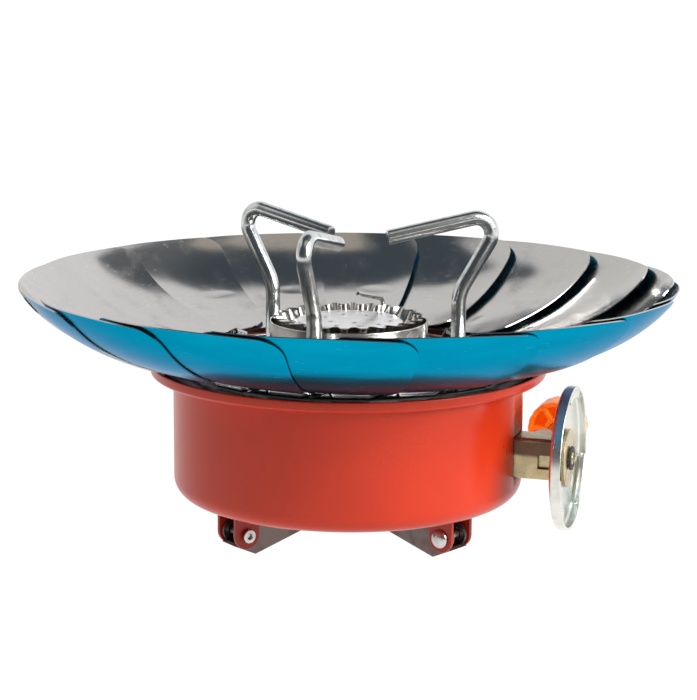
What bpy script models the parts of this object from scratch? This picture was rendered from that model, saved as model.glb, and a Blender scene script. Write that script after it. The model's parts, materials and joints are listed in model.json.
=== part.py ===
"""Folding camping gas stove with a petal windscreen.

A drawn cup on three fold-out feet carries a gas burner, three swivelling pot
supports and a ring of hinged petals that fold up round the burner.  A side
connector takes the gas cartridge, with its valve knob beside it and a spark
igniter in the cup.  Metres, +Z up, origin on the ground under the burner.
"""
import math

import bmesh
import bpy
from mathutils import Matrix, Vector

MM = 0.001
GAP = 0.3 * MM              # left between pieces that touch or run on each other
OVERRUN = 2.0 * MM          # how far a cutter runs past its work
MERGE = 0.001 * MM          # vertices closer than this are one

# Cup
CUP_RADIUS = 54.7 * MM
CUP_SHEET = 0.8 * MM
CUP_FILLET = 5.7 * MM
CUP_WALL_TOP = 37.2 * MM            # where the shoulder starts
SHOULDER_RISE = 2.2 * MM
SHOULDER_REACH = 7.0 * MM
CUP_LIP = 2.2 * MM                  # upright edge above the shoulder
CUP_HEIGHT = CUP_WALL_TOP + SHOULDER_RISE + CUP_LIP
VENT_RADIUS = 3.0 * MM
VENT_SHARE = 0.4022                 # of the cup's radius
VENT_CIRCLE = CUP_RADIUS * VENT_SHARE
VENT_COUNT = 6

# Feet: folded under the cup, they are what the stove stands on
FOOT_AZIMUTHS = (-128.0, -23.4, 104.0)
FOOT_IN = 13.7 * MM                 # pin inside the cup's wall
FOOT_PIN_RADIUS = CUP_RADIUS - FOOT_IN
FOOT_PIN_DROP = 7.4 * MM            # pin's centre below the cup's floor
FOOT_HEEL_DROP = 6.8 * MM           # lowest corner of the foot below the pin
FOOT_HEEL_IN = 3.9 * MM             # the same corner, inward of the pin
FOOT_TOE_DROP = 3.3 * MM            # end of the short web that stops the open foot
FOOT_TOE_OUT = 3.6 * MM
FOOT_TIP_RADIUS = 5.3 * MM          # folded foot's tip, from the stove's axis
FOOT_RISE = 15.7                    # degrees by which the folded foot climbs inward
FOOT_RUN = FOOT_PIN_RADIUS - FOOT_HEEL_IN - FOOT_TIP_RADIUS
FOOT_LENGTH = FOOT_RUN / math.cos(math.radians(FOOT_RISE))
FOOT_WIDTH = 7.4 * MM
FOOT_FLANGE = 3.7 * MM
FOOT_SHEET = 1.0 * MM
FOOT_FOLD = 0.35                    # share of a sheet by which the heel's inside sets back
FOOT_EYE = 3.6 * MM                 # radius of the flange round the pin
FOOT_EYE_END = -282.0               # degrees, where the eye meets the flange
FOOT_PIN = 1.5 * MM                 # pin's radius
FOOT_PIN_HEAD = 2.9 * MM
EAR_SHEET = 1.2 * MM
EAR_RADIUS = 4.3 * MM
BRACKET_PLATE = 1.5 * MM
BRACKET_STUD = 1.8 * MM
BRACKET_STUD_HEAD = 2.8 * MM

BASE = FOOT_PIN_DROP + FOOT_HEEL_DROP   # height of the cup's floor

# Hinge ring and the wire that the petals hook on
RING_SHEET = 1.0 * MM
RING_RISE = 2.9 * MM                # ring's top above the start of the shoulder
RING_TOP = CUP_WALL_TOP + RING_RISE
RING_OVERHANG = 2.7 * MM            # skirt beyond the cup's wall
RING_WIDTH = 11.4 * MM
RING_OUTER = CUP_RADIUS + RING_OVERHANG
RING_INNER = RING_OUTER - RING_WIDTH
WIRE_RADIUS = 0.7 * MM

# Petals
PETAL_COUNT = 17
PETAL_SHEET = 0.4 * MM
PETAL_OUTER_ANGLE = 15.5            # degrees from the petal's middle to its outer edge
PETAL_INNER_ANGLE = 21.0            # and to the edge that lies inside its neighbour
PETAL_FIRST = 6.9                  # azimuth of the first petal's middle
PETAL_LENGTH = 53.7 * MM            # up the bowl, from the foot edge to the rim
PETAL_FOOT_SLOPE = 13.0             # degrees from level at the foot edge
PETAL_RIM_SLOPE = 57.0              # degrees from level at the rim
PETAL_CURL = 1.9                    # how late the slope rises
LAP_FOOT = 0.52 * MM                # how far the outer edge leans out, at the foot and the rim
LAP_RIM = 0.52 * MM
EDGE_LIFT_START = -5.7              # degrees, from where the inner edge lifts
EDGE_LIFT_FOOT = 1.0 * MM           # how far it has lifted at the foot and the rim
EDGE_LIFT_RIM = 2.0 * MM
PETAL_INNER_CORNER = 7.0 * MM
PETAL_FOOT_CORNER = 9.0 * MM         # at the foot of the inner edge
PETAL_OUTER_CORNER = 7.0 * MM
PETAL_COLUMNS = (-21.0, -19.8, -17.1, -12.3, -7.6, -2.9, 4.65, 11.5, 14.3, 15.5)    # degrees
TAB_COLUMNS = (4, 5)                # the two that edge the hinge tab
HINGE_IN = 2.2 * MM                 # hinge line inside the cup's wall
HINGE_LIFT = 2.6 * MM               # above the ring's top
HINGE_SIDE_SHARE = -0.0971          # hinge's middle beside the petal's, of its radius
HINGE_HALF_SHARE = 0.0629
HINGE_RADIUS = CUP_RADIUS - HINGE_IN
HINGE_HEIGHT = RING_TOP + HINGE_LIFT
HINGE_SIDE = HINGE_RADIUS * HINGE_SIDE_SHARE
HINGE_HALF = HINGE_RADIUS * HINGE_HALF_SHARE
HINGE_SKEW = 20.0                   # degrees by which the hinge line climbs
HINGE_WRAP = 235.0                  # degrees of the wire that the tab hooks round
HINGE_DROP_BEFORE = 1.3 * MM        # wire's slants down to the ring, beside a hinge
HINGE_DROP_AFTER = 1.6 * MM
PETAL_FOOT_OUT = 2.87 * MM          # foot edge beyond the hinge line
PETAL_FOOT_RISE = 0.27 * MM         # foot edge above the hinge line

# Heat shield over the cup
SHIELD_SHEET = 0.8 * MM
SHIELD_CLEARANCE = 2.2 * MM         # inside the hinge line
SHIELD_RADIUS = HINGE_RADIUS - SHIELD_CLEARANCE
SHIELD_DISH = 1.6 * MM
SHIELD_RIM = CUP_RADIUS * 0.1042
SHIELD_DISH_RADIUS = SHIELD_RADIUS - SHIELD_RIM
POST_RADIUS = 2.4 * MM
POST_IN = 3.1 * MM                  # inside the shield's edge
POST_CIRCLE = SHIELD_RADIUS - POST_IN
POST_AZIMUTHS = (90.0, 210.0, 330.0)
SCREW_RADIUS = 1.25 * MM
SCREW_HEAD = 2.3 * MM
SCREW_HEAD_HEIGHT = 1.3 * MM
SCREW_LENGTH = 6.0 * MM

# Pot supports
SUPPORT_AZIMUTHS = (30.0, 150.0, 270.0)
SUPPORT_SWIVELS = (0.0, 10.0, 0.0)  # degrees that each stands turned in its bush
SUPPORT_IN = CUP_RADIUS * 0.1645    # inside the edge of the shield's dish
SUPPORT_CIRCLE = SHIELD_DISH_RADIUS - SUPPORT_IN
SUPPORT_WIRE = 2.35 * MM            # radius
SUPPORT_KINK_RISE = 21.5 * MM       # heights above the ring's top
SUPPORT_BEND_RISE = 47.5 * MM
SUPPORT_TIP_RISE = 39.9 * MM
SUPPORT_FOOT_DROP = 13.1 * MM
SUPPORT_BEND_OUT = 15.7 * MM        # bend's distance beyond the support's circle
SUPPORT_TIP_RADIUS = 12.2 * MM
SUPPORT_KINK_HEIGHT = RING_TOP + SUPPORT_KINK_RISE
SUPPORT_BEND_HEIGHT = RING_TOP + SUPPORT_BEND_RISE
SUPPORT_TIP_HEIGHT = RING_TOP + SUPPORT_TIP_RISE
SUPPORT_FOOT = RING_TOP - SUPPORT_FOOT_DROP
SUPPORT_BEND_RADIUS = SUPPORT_CIRCLE + SUPPORT_BEND_OUT
SUPPORT_BEND = 6.5 * MM
SUPPORT_KINK = 9.0 * MM
BUSH_WALL = 1.2 * MM
BUSH_FLANGE = SUPPORT_IN * 0.2667
BUSH_LENGTH = 10.0 * MM
COLLAR_REACH = 1.1 * MM
COLLAR_HEIGHT = 1.6 * MM

# Burner
TUBE_RADIUS = 7.0 * MM
TUBE_THROAT = 5.0 * MM
TUBE_WALL = 0.8 * MM
TUBE_FLANGE = 11.5 * MM
TUBE_WAIST = 0.35                   # where the throat lies, from the tube's bottom
BURNER_IN = CUP_RADIUS * 0.1993     # inside the supports' circle
BURNER_RADIUS = SUPPORT_CIRCLE - BURNER_IN
BURNER_SHEET = 0.5 * MM
BURNER_RISE = 14.5 * MM             # rim above the ring's top
BURNER_TOP = RING_TOP + BURNER_RISE
BURNER_FILLET = 5.0 * MM
CAP_SHARE = 0.7126                  # of the burner cup's radius
CAP_RADIUS = BURNER_RADIUS * CAP_SHARE
CAP_RISE = 1.4 * MM                 # above the burner cup's rim
CAP_SKIRT = 7.0 * MM
CAP_TOP = BURNER_TOP + CAP_RISE
CAP_BOTTOM = CAP_TOP - CAP_SKIRT
CAP_SHEET = 0.8 * MM
CAP_SHOULDER = 2.4 * MM
CAP_STEM = 0.62                     # its lower edge, of the cap's radius
CAP_HOLE = 0.8 * MM
CAP_HOLE_SHARES = (0.761, 0.432)    # circles of holes, of the cap's radius
CAP_HOLE_COUNTS = (12, 6)
PLEAT_COUNT = 24
PLEAT_SHEET = 0.35 * MM
PLEAT_RISE = 0.6 * MM               # above the burner cup's rim
PLEAT_HEIGHT = 4.8 * MM
PLEAT_TOP = BURNER_TOP + PLEAT_RISE
PLEAT_BOTTOM = PLEAT_TOP - PLEAT_HEIGHT
PLEAT_IN = 1.1 * MM                 # crests inside the burner cup's wall
PLEAT_DEPTH = 2.0 * MM
PLEAT_OUTER = BURNER_RADIUS - PLEAT_IN          # crests at the top edge
PLEAT_INNER = PLEAT_OUTER - PLEAT_DEPTH         # troughs at the top edge
PLEAT_CLEARANCE = 1.0 * MM          # between the cap and the middle of the bottom edge
PLEAT_ROOT = CAP_RADIUS + PLEAT_CLEARANCE
PLEAT_ROOT_WAVE = 0.35 * MM
INJECTOR_RADIUS = 5.5 * MM
INJECTOR_FOOT = 10.0 * MM
INJECTOR_FOOT_HEIGHT = 2.2 * MM
INJECTOR_SHOULDER = 19.0 * MM
INJECTOR_CONE = 2.0 * MM
INJECTOR_NOSE = INJECTOR_SHOULDER + INJECTOR_CONE
INJECTOR_NOSE_RADIUS = 2.6 * MM
JET_RADIUS = 0.6 * MM
AIR_GAP = 1.0 * MM                  # between the jet and the mixing tube
TUBE_BOTTOM = INJECTOR_NOSE + AIR_GAP

# Cartridge connector, along +X
CONNECTOR_HEIGHT = 15.6 * MM        # its axis above the cup's floor
SLEEVE_INSIDE = 4.7 * MM            # of its length within the cup's wall
SLEEVE_OUT = 13.5 * MM              # of its length beyond it
SLEEVE_START = CUP_RADIUS - SLEEVE_INSIDE
SLEEVE_END = CUP_RADIUS + SLEEVE_OUT
SLEEVE_TALL = 12.8 * MM
SLEEVE_WIDE = 10.4 * MM
SLEEVE_WALL = 1.2 * MM
SLEEVE_CORNER = 0.9 * MM
SLEEVE_WINDOW = 4.2 * MM
WINDOW_BACK = 4.2 * MM              # from the sleeve's end
SLEEVE_WINDOW_AT = SLEEVE_END - WINDOW_BACK
SLEEVE_WINDOW_DROP = 0.8 * MM
VALVE_INSIDE = 3.0 * MM             # behind the sleeve
VALVE_BACK = 1.2 * MM               # from the sleeve's end
VALVE_START = SLEEVE_START - VALVE_INSIDE
VALVE_END = SLEEVE_END - VALVE_BACK
COLLAR_CUP_RADIUS = 22.2 * MM
COLLAR_CUP_DEPTH = 3.5 * MM
COLLAR_CUP_SHEET = 0.9 * MM
COLLAR_CORNER = 1.5                 # sheets that its corner is cut back
LUG_COUNT = 3
LUG_ANGLE = 46.0                    # degrees round the rim that each lug takes
LUG_REACH = 3.4 * MM
LUG_FIRST = 35.0
PROBE_RADIUS = SLEEVE_WIDE / 2 - SLEEVE_WALL - GAP
PROBE_FLANGE = 9.0 * MM
PROBE_FLANGE_SHEET = 1.0 * MM
PROBE_PIN = 1.0 * MM
PROBE_PIN_REACH = 1.0 * MM
SEAL_WALL = 1.8 * MM
SEAL_HEIGHT = 0.8 * MM
SPINDLE_BACK = 9.0 * MM             # from the sleeve's end
SPINDLE_AT = SLEEVE_END - SPINDLE_BACK
SPINDLE_RADIUS = 2.0 * MM
SPINDLE_FIRST = 2.0 * MM
GLAND_RADIUS = 4.2 * MM
GLAND_OUT = 14.0 * MM               # beyond the sleeve's side
GLAND_END = SLEEVE_WIDE / 2 + GLAND_OUT
KNOB_CLEARANCE = 16.8 * MM           # between the gland and the knob's back
KNOB_BACK = GLAND_END + KNOB_CLEARANCE      # knob's hollow back face, beside the connector
KNOB_DEPTH = 10.0 * MM
KNOB_RADIUS = 9.0 * MM
KNOB_FLUTE_COUNT = 18
KNOB_FLUTE_DEPTH = 0.7 * MM
KNOB_WALL = 1.5 * MM
KNOB_HUB = 3.6 * MM
KNOB_SPOKE = 1.2 * MM
KNOB_SPOKE_COUNT = 6
KNOB_FACE = 2.4 * MM
GAS_TUBE_RADIUS = 1.8 * MM
GAS_TUBE_DIP = 3.0 * MM
GAS_TUBE_BEND = 8.0 * MM

# Spark igniter
PIEZO_AZIMUTH = 62.0
PIEZO_RADIUS = 5.2 * MM
PIEZO_HEIGHT = 16.0 * MM
PIEZO_BORE_DEPTH = 9.0 * MM
PIEZO_FLANGE = 6.6 * MM
PIEZO_FLANGE_SHEET = 1.4 * MM
BUTTON_RADIUS = 3.6 * MM
BUTTON_REACH = 5.0 * MM             # how far it stands out of the cup
BUTTON_TRAVEL = 3.0 * MM
BUTTON_BEVEL = 0.8 * MM
ELECTRODE_AZIMUTH = 83.0
ELECTRODE_OUT = 2.9 * MM            # beyond the burner cup's wall
ELECTRODE_CIRCLE = BURNER_RADIUS + ELECTRODE_OUT
PIEZO_CLEARANCE = 2.4 * MM          # body's back beyond the electrode's circle
PIEZO_BACK = ELECTRODE_CIRCLE + PIEZO_CLEARANCE
ELECTRODE_RADIUS = 0.65 * MM
ELECTRODE_RISE = 0.9 * MM           # shoulder above the cap
ELECTRODE_CLIMB = 4.8 * MM          # tip above the shoulder
ELECTRODE_SHOULDER = CAP_TOP + ELECTRODE_RISE
ELECTRODE_TIP_HEIGHT = ELECTRODE_SHOULDER + ELECTRODE_CLIMB
ELECTRODE_TIP_IN = 10.6 * MM         # inside the cap's edge
ELECTRODE_TIP_RADIUS = CAP_RADIUS - ELECTRODE_TIP_IN
ELECTRODE_FOOT_DROP = 5.1 * MM      # below the ring's top
ELECTRODE_FOOT = RING_TOP - ELECTRODE_FOOT_DROP
INSULATOR_RADIUS = 2.0 * MM
INSULATOR_FLANGE = 3.2 * MM
INSULATOR_FLANGE_SHEET = 1.2 * MM
INSULATOR_RISE = 6.4 * MM           # above the ring's top
INSULATOR_TAIL = 1.0 * MM           # below the electrode's foot
INSULATOR_TOP = RING_TOP + INSULATOR_RISE
INSULATOR_BOTTOM = ELECTRODE_FOOT - INSULATOR_TAIL
LEAD_RADIUS = 1.0 * MM
LEAD_BEND = 5.0 * MM

# Facets
LARGE_COUNT = 40
MEDIUM_COUNT = 24
SMALL_COUNT = 12
WIRE_COUNT = 9
FINE_COUNT = 6
FULL_TURN = 360.0
QUARTER_TURN = 90.0

for old in list(bpy.data.objects):
    bpy.data.objects.remove(old, do_unlink=True)


def finish(name, colour, roughness, metallic):
    """A Principled material."""
    material = bpy.data.materials.new(name)
    material.use_nodes = True
    shader = material.node_tree.nodes["Principled BSDF"]
    shader.inputs["Base Color"].default_value = (*colour, 1.0)
    shader.inputs["Roughness"].default_value = roughness
    shader.inputs["Metallic"].default_value = metallic
    material.diffuse_color = (*colour, 1.0)
    return material


RED_PAINT = finish("red_paint", (0.80, 0.06, 0.025), 0.28, 0.0)
BLUE_STEEL = finish("blue_steel", (0.0, 0.29, 0.50), 0.3, 0.7)
STAINLESS = finish("stainless", (0.62, 0.61, 0.60), 0.28, 1.0)
ZINC_WIRE = finish("zinc_wire", (0.66, 0.68, 0.68), 0.22, 1.0)
YELLOW_ZINC = finish("yellow_zinc", (0.72, 0.60, 0.34), 0.32, 1.0)
GREY_ZINC = finish("grey_zinc", (0.56, 0.57, 0.58), 0.35, 1.0)
DARK_STEEL = finish("dark_steel", (0.20, 0.17, 0.15), 0.45, 0.9)
BRASS = finish("brass", (0.78, 0.60, 0.27), 0.3, 1.0)
COPPER = finish("copper", (0.75, 0.42, 0.28), 0.35, 1.0)
ORANGE_PLASTIC = finish("orange_plastic", (1.0, 0.20, 0.01), 0.4, 0.0)
BLACK_RUBBER = finish("black_rubber", (0.02, 0.02, 0.02), 0.7, 0.0)
BLACK_PLASTIC = finish("black_plastic", (0.03, 0.03, 0.03), 0.5, 0.0)
CERAMIC = finish("ceramic", (0.85, 0.83, 0.78), 0.35, 0.0)


def polar(radius, degrees, height):
    """A point from its distance from the axis, azimuth and height."""
    turn = math.radians(degrees)
    return Vector((radius * math.cos(turn), radius * math.sin(turn), height))


def arc(centre, radii, start, end, count):
    """Points of an arc or a quarter ellipse in a section, angles in degrees."""
    steps = (math.radians(start + (end - start) * i / count) for i in range(count + 1))
    return [
        (centre[0] + radii[0] * math.cos(a), centre[1] + radii[1] * math.sin(a))
        for a in steps
    ]


def add_object(name, bm, material, place=Matrix()):
    """Turn a bmesh, in its own frame, into a named object at its place."""
    mesh = bpy.data.meshes.new(name)
    bm.to_mesh(mesh)
    bm.free()
    return add_mesh(name, mesh, material, place)


def add_mesh(name, mesh, material, place=Matrix()):
    """A named object for a mesh that may be shared."""
    if not mesh.materials:
        mesh.materials.append(material)
        mesh.shade_smooth()
        mesh.set_sharp_from_angle(angle=math.radians(30))
    item = bpy.data.objects.new(name, mesh)
    bpy.context.scene.collection.objects.link(item)
    item.matrix_world = place
    return item


def combine(target, tool_name, bm, operation="DIFFERENCE", place=Matrix()):
    """Cut a tool from an object, or join it on, with a Boolean modifier."""
    tool = add_object(f"{target.name}_{tool_name}", bm, target.data.materials[0], place)
    tool.hide_render = True
    tool.display_type = "WIRE"
    modifier = target.modifiers.new(tool_name, "BOOLEAN")
    modifier.operation = operation
    modifier.object = tool
    return tool


def turned(points, steps):
    """Revolve a section of (radius, height) points about Z."""
    bm = bmesh.new()
    corners = [bm.verts.new((r, 0, z)) for r, z in points]
    edges = [bm.edges.new(pair) for pair in zip(corners, corners[1:])]
    if points[0][0] != 0 or points[-1][0] != 0:
        edges.append(bm.edges.new((corners[-1], corners[0])))
    bmesh.ops.spin(
        bm, geom=corners + edges, cent=(0, 0, 0), axis=(0, 0, 1),
        angle=math.tau, steps=steps, use_merge=True,
    )
    bmesh.ops.remove_doubles(bm, verts=bm.verts, dist=MERGE)
    bmesh.ops.recalc_face_normals(bm, faces=bm.faces)
    return bm


def rod(radius, low, high, steps):
    """A plain cylinder along Z."""
    return turned([(0, low), (radius, low), (radius, high), (0, high)], steps)


def prism(outline, low, high):
    """Extrude a closed (x, y) outline along Z."""
    bm = bmesh.new()
    face = bm.faces.new([bm.verts.new((x, y, low)) for x, y in outline])
    grown = bmesh.ops.extrude_face_region(bm, geom=[face])
    top = [v for v in grown["geom"] if isinstance(v, bmesh.types.BMVert)]
    bmesh.ops.translate(bm, vec=(0, 0, high - low), verts=top)
    bmesh.ops.recalc_face_normals(bm, faces=bm.faces)
    return bm


def moved(bm, matrix):
    """The same bmesh, moved by a matrix."""
    bmesh.ops.transform(bm, matrix=matrix, verts=bm.verts)
    return bm


def joined(parts):
    """Several bmeshes as the separate bodies of one."""
    whole = bmesh.new()
    for part in parts:
        mesh = bpy.data.meshes.new("scratch")
        part.to_mesh(mesh)
        part.free()
        whole.from_mesh(mesh)
        bpy.data.meshes.remove(mesh)
    return whole


def rounded_path(corners, bends, count):
    """A polyline whose inner corners are arcs of the given radii."""
    path = [corners[0]]
    for before, corner, after, bend in zip(corners, corners[1:], corners[2:], bends):
        into, out = (corner - before).normalized(), (after - corner).normalized()
        turn = into.angle(out)
        reach = bend * math.tan(turn / 2)
        centre = corner + (out - into).normalized() * bend / math.cos(turn / 2)
        start = corner - into * reach - centre
        axis = into.cross(out).normalized()
        for i in range(count + 1):
            path.append(centre + Matrix.Rotation(turn * i / count, 3, axis) @ start)
    path.append(corners[-1])
    return path


def swept(path, radius, sides, closed=False):
    """A round wire along a path, with flat ends unless it closes on itself."""
    bm = bmesh.new()
    count = len(path)
    rings = []
    normal = None
    for i, point in enumerate(path):
        before = path[i - 1] if closed or i else path[0]
        after = path[(i + 1) % count] if closed or i < count - 1 else path[-1]
        into, out = (point - before), (after - point)
        tangent = (into.normalized() + out.normalized()).normalized()
        if normal is None:
            normal = tangent.orthogonal()
        normal = (normal - tangent * normal.dot(tangent)).normalized()
        side = tangent.cross(normal)
        ring = []
        for k in range(sides):
            a = math.tau * k / sides
            ring.append(bm.verts.new(point + radius * (math.cos(a) * normal + math.sin(a) * side)))
        rings.append(ring)
    pairs = list(zip(rings, rings[1:]))
    for low, high in pairs:
        for k in range(sides):
            bm.faces.new((low[k], low[(k + 1) % sides], high[(k + 1) % sides], high[k]))
    if closed:
        bmesh.ops.bridge_loops(bm, edges=loop_edges(bm, rings[-1]) + loop_edges(bm, rings[0]))
    else:
        bm.faces.new(rings[0])
        bm.faces.new(rings[-1])
    bmesh.ops.recalc_face_normals(bm, faces=bm.faces)
    return bm


def loop_edges(bm, ring):
    """The edges that join a ring of vertices."""
    return [bm.edges.get(pair) for pair in zip(ring, ring[1:] + ring[:1])]


def about_x(height, along=0.0):
    """Places a piece turned about Z so that it lies along +X at a height."""
    return Matrix.Translation((along, 0, height)) @ Matrix.Rotation(math.radians(90), 4, "Y")


def facing(azimuth, height):
    """Places a piece turned about Z so that it points out at an azimuth."""
    turn = Matrix.Rotation(math.radians(azimuth), 4, "Z")
    return turn @ about_x(height)


def spun(azimuth):
    """A turn about the stove's axis."""
    return Matrix.Rotation(math.radians(azimuth), 4, "Z")


def petal_section(share):
    """The bowl's (radius, height, slope) at a share of the petal's length."""
    steps = 40
    foot, rim = math.radians(PETAL_FOOT_SLOPE), math.radians(PETAL_RIM_SLOPE)
    radius, height = HINGE_RADIUS + PETAL_FOOT_OUT, BASE + HINGE_HEIGHT + PETAL_FOOT_RISE
    step = share * PETAL_LENGTH / steps
    for i in range(steps):
        slope = foot + (rim - foot) * (share * (i + 0.5) / steps) ** PETAL_CURL
        radius += step * math.cos(slope)
        height += step * math.sin(slope)
    return radius, height, foot + (rim - foot) * share ** PETAL_CURL


def petal_point(degrees, share):
    """A point on the middle of the petal's sheet, leaning across its width."""
    radius, height, slope = petal_section(share)
    lean = -(LAP_FOOT + (LAP_RIM - LAP_FOOT) * share) * degrees / PETAL_OUTER_ANGLE
    inward = max((EDGE_LIFT_START - degrees) / (EDGE_LIFT_START + PETAL_INNER_ANGLE), 0)
    lean += (EDGE_LIFT_FOOT + (EDGE_LIFT_RIM - EDGE_LIFT_FOOT) * share) * inward * inward
    return polar(radius - lean * math.sin(slope), degrees, height + lean * math.cos(slope))


def corner_drop(distance, radius):
    """How far a rounded corner lies below the edge, at a distance from the side."""
    inside = max(radius - distance, 0)
    return radius - math.sqrt(radius * radius - inside * inside)


def build_cup():
    """The drawn cup with its flared shoulder, holes and vents."""
    wall = BASE + CUP_WALL_TOP
    lip = CUP_RADIUS + SHOULDER_REACH
    centre = (CUP_RADIUS, wall + SHOULDER_RISE)
    foot = (CUP_RADIUS - CUP_FILLET, BASE + CUP_FILLET)
    inner = CUP_FILLET - CUP_SHEET
    outside = [(0, BASE)] + arc(foot, (CUP_FILLET, CUP_FILLET), -90, 0, 3)
    outside += arc(centre, (SHOULDER_REACH, SHOULDER_RISE), -90, 0, 4)
    outside.append((lip, BASE + CUP_HEIGHT))
    inside = [(lip - CUP_SHEET, BASE + CUP_HEIGHT)]
    inner_centre = (CUP_RADIUS - CUP_SHEET, centre[1])
    inner_radii = (SHOULDER_REACH, SHOULDER_RISE - CUP_SHEET)
    inside += arc(inner_centre, inner_radii, 0, -90, 4)
    inside += arc(foot, (inner, inner), 0, -90, 3) + [(0, BASE + CUP_SHEET)]
    cup = add_object("housing", turned(outside + inside, LARGE_COUNT), RED_PAINT)

    vents = [
        moved(rod(VENT_RADIUS, BASE - OVERRUN, BASE + CUP_SHEET + OVERRUN, SMALL_COUNT),
              spun(FULL_TURN * (i + 0.5) / VENT_COUNT) @ Matrix.Translation((VENT_CIRCLE, 0, 0)))
        for i in range(VENT_COUNT)
    ]
    combine(cup, "vents", joined(vents))
    studs = [
        moved(rod(BRACKET_STUD + GAP, BASE - OVERRUN, BASE + CUP_SHEET + OVERRUN, SMALL_COUNT),
              spun(azimuth) @ Matrix.Translation((FOOT_PIN_RADIUS, 0, 0)))
        for azimuth in FOOT_AZIMUTHS
    ]
    combine(cup, "stud_holes", joined(studs))
    hole = sleeve_outline(GAP)
    port = moved(prism(hole, CUP_RADIUS - CUP_FILLET, CUP_RADIUS + OVERRUN),
                 about_x(BASE + CONNECTOR_HEIGHT))
    combine(cup, "connector_port", port)
    button = rod(BUTTON_RADIUS + GAP, CUP_RADIUS - CUP_FILLET, CUP_RADIUS + OVERRUN, SMALL_COUNT)
    combine(cup, "button_hole", moved(button, facing(PIEZO_AZIMUTH, BASE + PIEZO_HEIGHT)))


def foot_frame(azimuth):
    """A foot's frame: origin on its pin, +X inward, +Y along the pin."""
    pin = polar(FOOT_PIN_RADIUS, azimuth, FOOT_HEEL_DROP)
    return Matrix.Translation(pin) @ spun(azimuth + 180)


def side_on(bm):
    """Stands a prism drawn in (x, z) across +Y, centred on its width."""
    return moved(bm, Matrix.Rotation(math.radians(90), 4, "X"))


def foot_points():
    """Toe, heel and tip of the foot's web, seen from the side."""
    rise = math.radians(FOOT_RISE)
    toe = Vector((-FOOT_TOE_OUT, -FOOT_TOE_DROP))
    heel = Vector((FOOT_HEEL_IN, -FOOT_HEEL_DROP))
    tip = heel + FOOT_LENGTH * Vector((math.cos(rise), math.sin(rise)))
    return toe, heel, tip, Vector((-math.sin(rise), math.cos(rise)))


def build_foot(index, azimuth):
    """A channel-section foot, its bracket and its pin."""
    toe, heel, tip, up = foot_points()
    half = FOOT_WIDTH / 2
    back = toe.normalized() * FOOT_EYE
    start = math.degrees(math.atan2(back.y, back.x))
    eye = arc((0, 0), (FOOT_EYE, FOOT_EYE), start, FOOT_EYE_END, 8)
    outline = [tuple(toe), tuple(heel), tuple(tip), tuple(tip + up * FOOT_FLANGE)]
    outline += list(reversed(eye))
    place = foot_frame(azimuth)
    foot = add_object(f"foot_{index}", side_on(prism(outline, -half, half)), DARK_STEEL, place)

    along = (heel - toe).normalized()
    lift = Vector((-along.y, along.x)) * FOOT_SHEET
    heel_inside = heel + up * FOOT_SHEET + (tip - heel).normalized() * FOOT_SHEET * FOOT_FOLD
    trough = [
        tuple(toe + lift - along * OVERRUN),
        tuple(heel_inside),
        tuple(tip + up * FOOT_SHEET + (tip - heel).normalized() * OVERRUN),
        tuple(tip + up * (FOOT_FLANGE + OVERRUN) + (tip - heel).normalized() * OVERRUN),
        (FOOT_HEEL_IN, FOOT_EYE + OVERRUN),
        (-FOOT_EYE - OVERRUN, FOOT_EYE + OVERRUN),
    ]
    inner = half - FOOT_SHEET
    combine(foot, "trough", side_on(prism(trough, -inner, inner)), place=place)
    bore = side_on(rod(FOOT_PIN + GAP, -half - OVERRUN, half + OVERRUN, SMALL_COUNT))
    combine(foot, "bore", bore, place=place)

    ear_in = half + GAP
    ear_out = ear_in + EAR_SHEET
    top = FOOT_PIN_DROP - GAP
    plate = top - BRACKET_PLATE
    section = [(-ear_out, -EAR_RADIUS), (-ear_in, -EAR_RADIUS), (-ear_in, plate), (ear_in, plate),
               (ear_in, -EAR_RADIUS), (ear_out, -EAR_RADIUS), (ear_out, top), (-ear_out, top)]
    bm = prism(section, -EAR_RADIUS, EAR_RADIUS)
    moved(bm, Matrix(((0, 0, 1), (1, 0, 0), (0, 1, 0))).to_4x4())
    ends = [
        e for e in bm.edges
        if all(abs(v.co.z + EAR_RADIUS) < MERGE for v in e.verts)
        and abs(e.verts[0].co.x - e.verts[1].co.x) < MERGE
    ]
    bmesh.ops.bevel(bm, geom=ends, offset=EAR_RADIUS * 0.98, segments=5, profile=0.5, affect="EDGES")
    bracket = add_object(f"foot_bracket_{index}", bm, RED_PAINT, place)
    eye_bore = side_on(rod(FOOT_PIN + GAP, -ear_out - OVERRUN, ear_out + OVERRUN, SMALL_COUNT))
    combine(bracket, "bore", eye_bore, place=place)
    head = FOOT_PIN_DROP + CUP_SHEET + GAP
    stud = turned(
        [(0, top - BRACKET_PLATE / 2), (BRACKET_STUD, top - BRACKET_PLATE / 2), (BRACKET_STUD, head),
         (BRACKET_STUD_HEAD, head), (BRACKET_STUD_HEAD * 0.7, head + BRACKET_STUD / 2),
         (0, head + BRACKET_STUD / 2)],
        SMALL_COUNT,
    )
    combine(bracket, "stud", stud, "UNION", place)

    shaft = ear_out + GAP
    pin = turned(
        [(0, -shaft - FOOT_PIN), (FOOT_PIN_HEAD * 0.6, -shaft - FOOT_PIN),
         (FOOT_PIN_HEAD, -shaft - FOOT_PIN * 0.4), (FOOT_PIN_HEAD, -shaft), (FOOT_PIN, -shaft),
         (FOOT_PIN, shaft), (FOOT_PIN + 2 * GAP, shaft), (FOOT_PIN + 2 * GAP, shaft + FOOT_PIN * 0.8),
         (FOOT_PIN * 0.5, shaft + FOOT_PIN * 0.8), (FOOT_PIN * 0.5, shaft), (0, shaft)],
        SMALL_COUNT,
    )
    add_object(f"foot_pin_{index}", side_on(pin), DARK_STEEL, place)


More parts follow.
